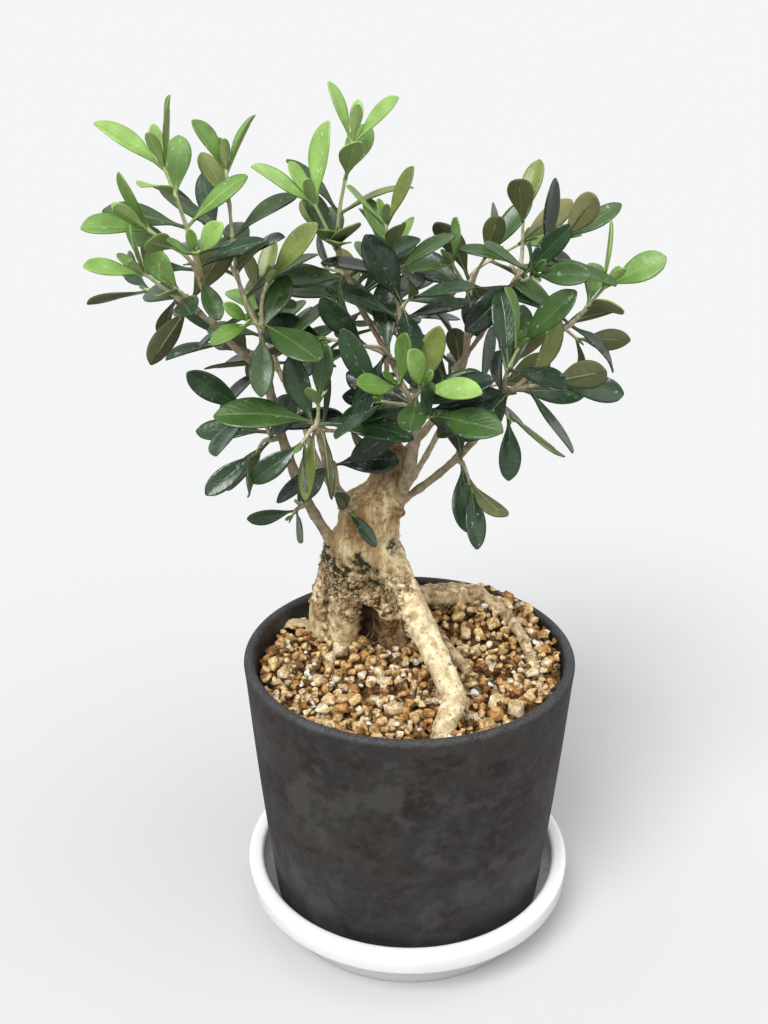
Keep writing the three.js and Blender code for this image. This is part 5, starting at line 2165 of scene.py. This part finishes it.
    def rest_height(self, placed: dict, x: float, y: float, size: float) -> float:
        """Give the height at which a granule comes to rest on the bed or on its neighbours.

        Args:
            placed: The granules so far, by cells.
            x: The place across.
            y: The place in depth.
            size: The granule's size.

        Returns:
            The height.
        """
        z = self.height(x, y) - self.sink
        column, row = int(x // self.cell), int(y // self.cell)
        for i in (column - 1, column, column + 1):
            for j in (row - 1, row, row + 1):
                for spot, other in placed.get((i, j), ()):
                    apart = math.hypot(spot.x - x, spot.y - y)
                    touch = (size + other) * self.contact
                    if apart < touch:
                        z = max(z, spot.z + self.stacking * math.sqrt(touch**2 - apart**2))
        return z

    def is_in_wood(self, wood: BVHTree, spot: Vector, size: float) -> bool:
        """Say whether a granule would stick out of the trunk or a root."""
        near, normal, _, distance = wood.find_nearest(spot, 6.0)
        return near is not None and (distance < size * 0.3 or (spot - near).dot(normal) < 0)

    def crumbs(self) -> Form:
        """Stick small crumbs to the skin where the trunk's flare is crusted.

        Returns:
            The form of all the crumbs.
        """
        random = SeededRandom(self.crumb_seed)
        stones = [self.stone(random) for _ in range(self.crumb_shapes)]
        verts = self.wood.skin.vertices
        crust = self.wood.skin.attributes["crust"].data
        form = bmesh.new()
        for _ in range(self.crumb_tries):
            index = int(random() * len(verts))
            size = random.between(*self.crumb_size)
            turning, tilt = random.between(0, math.tau), random.jitter(1.5)
            spot = verts[index].co
            if crust[index].value < 0.55 or noise.noise(spot / 4.0) < -0.05:
                continue
            self.add_stone(form, stones[index % len(stones)], spot, tilted(turning, tilt), size)
        return form

    def tufts(self) -> Mesh:
        """Stand short moss hairs on the mossy skin."""
        random = SeededRandom(self.tuft_seed)
        skin = self.wood.skin
        moss = skin.attributes["moss"].data
        bundle = TubeBundle(0)
        for _ in range(self.tuft_tries):
            vert = skin.vertices[int(random() * len(skin.vertices))]
            ragged = noise.noise(vert.co / 1.1)
            if moss[vert.index].value < 0.35 or ragged < -0.04:
                continue
            lean = random.vector()
            reach = random.between(0.4, 1.1)
            middle = vert.co + (vert.normal * 0.5 + lean * 0.7) * reach * 0.5
            end = middle + (vert.normal * 0.1 + lean * 0.9) * reach * 0.5
            bundle.add([vert.co - vert.normal * 0.2, middle, end], self.tuft_radii)
        return bundle.mesh()

    def hairs(self) -> Mesh:
        """Hang root hairs in the hollow of the flare, and strew some over the soil before it."""
        random = SeededRandom(self.hair_seed)
        bundle = TubeBundle(0)
        for index in range(self.hairs_in_all):
            if index < self.hairs_in_hollow:
                start = Vector((random.between(-15, 1), random.between(9, 17), random.between(80.5, 92)))
                heading, rise, reach = random.between(200, 320), -20, random.between(5, 11)
            else:
                x, y = random.between(-24, 14), random.between(-30, 6)
                start = Vector((x, y, self.height(x, y) + random.between(0.6, 2.2)))
                heading, rise, reach = random.between(0, 360), 20, random.between(5, 13)
            points = walk(start, [
                (reach * 0.4, heading, rise + random.jitter(20)),
                (reach * 0.4, heading + random.jitter(60), rise / 2 + random.jitter(30)),
                (reach * 0.4, heading + random.jitter(90), random.between(-70, -15)),
            ])
            bundle.add(LimbCurve(points).run(0, 1, 10), [mixed(0.15, 0.06, i / 10) for i in range(11)])
        return bundle.mesh()

    def flake(self) -> Form:
        """Make the curled flake of bark that lies beside the trunk."""
        form = bmesh.new()
        middle = Vector(self.flake_place)
        bmesh.ops.create_grid(form, x_segments=10, y_segments=5, size=1.0)
        for vert in form.verts:
            x, y = vert.co.x * 4.4, vert.co.y * 1.7 * (1 - 0.3 * vert.co.x**2)
            z = 0.35 * y + 0.5 * noise.noise(vert.co * 2) - 0.06 * x * x
            vert.co = middle + Vector((x, y * 0.8, z))
        bmesh.ops.solidify(form, geom=form.faces[:], thickness=0.3)
        bmesh.ops.recalc_face_normals(form, faces=form.faces)
        return form

    def dress(self) -> None:
        """Set the bed, the granules, the crumbs, the hairs and the flake in the frame."""
        # The bed shows only between the granules: its dark brown is partly the soil's own colour and
        # partly painted shade between them.
        bed = ClayFinish("soil_bed", (0.06, 0.028, 0.009), (0.30, 0.16, 0.060))
        finish_piece("soil_bed", self.bed(), [bed.material()], ["soil"])
        for grain, form in self.scatter().items():
            label, dark, light = grain.value[:3]
            finish = ClayFinish(f"grain_{label}", dark, light)
            finish_piece(f"grains_{label}", form, [finish.material()], ["soil"])
        for name, make, finish in (
            ("bark_crumbs", self.crumbs, ClayFinish("crumb", (0.34, 0.22, 0.11), (0.66, 0.52, 0.32))),
            ("moss_tufts", self.tufts, ClayFinish("moss", (0.030, 0.030, 0.013), (0.24, 0.20, 0.09))),
            ("root_hairs", self.hairs, ClayFinish("hair", (0.10, 0.05, 0.022), (0.34, 0.21, 0.11))),
            ("bark_flake", self.flake, ClayFinish("flake", (0.46, 0.34, 0.19), (0.72, 0.60, 0.40))),
        ):
            finish_piece(name, make(), [finish.material()], [])


# ---- the room


@dataclass
class Studio:
    """A plain pale floor, soft light and the camera."""

    camera_place: Place = (-0.007175, -0.29981, 0.25986)
    camera_tilt: float = 66.3584
    sensor: float = 36.0
    focal_pixels: float = 1206.15
    image_height: float = 1024.0
    floor_size: float = 60.0
    clip: tuple[float, float] = (0.01, 300)
    floor_tones: Tones = ((0.32, 0.31, 0.30), (0.50, 0.50, 0.497))
    room_tones: Tones = ((0.80, 0.81, 0.83), (0.90, 0.90, 0.895))

    def build(self) -> None:
        """Make the camera, the floor, the world and the lights."""
        scene = bpy.context.scene
        data = bpy.data.cameras.new("camera")
        data.sensor_fit = "VERTICAL"
        data.sensor_height = self.sensor
        data.lens = self.focal_pixels / self.image_height * self.sensor
        data.clip_start, data.clip_end = self.clip
        camera = linked("camera", data)
        camera.location = self.camera_place
        camera.rotation_euler = (math.radians(self.camera_tilt), 0, 0)
        scene.camera = camera
        scene.view_settings.view_transform = "Standard"
        self.floor()
        self.world()
        self.sun("key", (-24, 34), 30, 3.3)
        self.sun("fill", (38, 22), 70, 1.0)

    def floor(self) -> None:
        """Lay the floor: pale to the eye, and calmer in what it throws back at the plant."""
        form = bmesh.new()
        bmesh.ops.create_grid(form, x_segments=1, y_segments=1, size=self.floor_size)
        mesh = as_mesh(form, "floor")
        finish = Finish("floor", (0.80, 0.80, 0.79), 1.0, specular_ior_level=0.0)
        seen = finish.graph.node("ShaderNodeLightPath").outputs["Is Camera Ray"]
        finish.set("Base Color", finish.graph.mix(seen, *self.floor_tones))
        mesh.materials.append(finish.material)
        floor = linked("floor", mesh)

    def world(self) -> None:
        """Fill the room with even light."""
        world = bpy.data.worlds.new("room")
        world.use_nodes = True
        graph = Graph(world.node_tree)
        sky = world.node_tree.nodes["Background"]
        seen = graph.node("ShaderNodeLightPath").outputs["Is Camera Ray"]
        graph.feed(sky.inputs["Color"], graph.mix(seen, *self.room_tones))
        bpy.context.scene.world = world

    def sun(self, name: str, tilt: tuple[float, float], spread: float, strength: float) -> None:
        """Light the room evenly from one side with a broad soft sun.

        Args:
            name: The lamp's name.
            tilt: How far it stands to the right and to the front of the plant, in degrees.
            spread: How wide it is, in degrees.
            strength: How strong it is.
        """
        light = bpy.data.lights.new(name, "SUN")
        light.angle = math.radians(spread)
        light.energy = strength
        lamp = linked(name, light)
        lamp.rotation_euler = (math.radians(tilt[1]), math.radians(tilt[0]), 0)


def main() -> None:
    """Build every sub-assembly in order."""
    logging.basicConfig(level=logging.INFO, format="%(name)s: %(message)s")
    Studio().build()
    skeleton = Skeleton().build()
    wood = Wood(skeleton)
    wood.build()
    foliage = Foliage(skeleton, wood)
    foliage.build()
    foliage.dress()
    pot = Pot()
    pot.dress()
    Saucer().dress()
    Soil(wood, pot).dress()
    wood.dress()


if __name__ == "__main__":
    main()
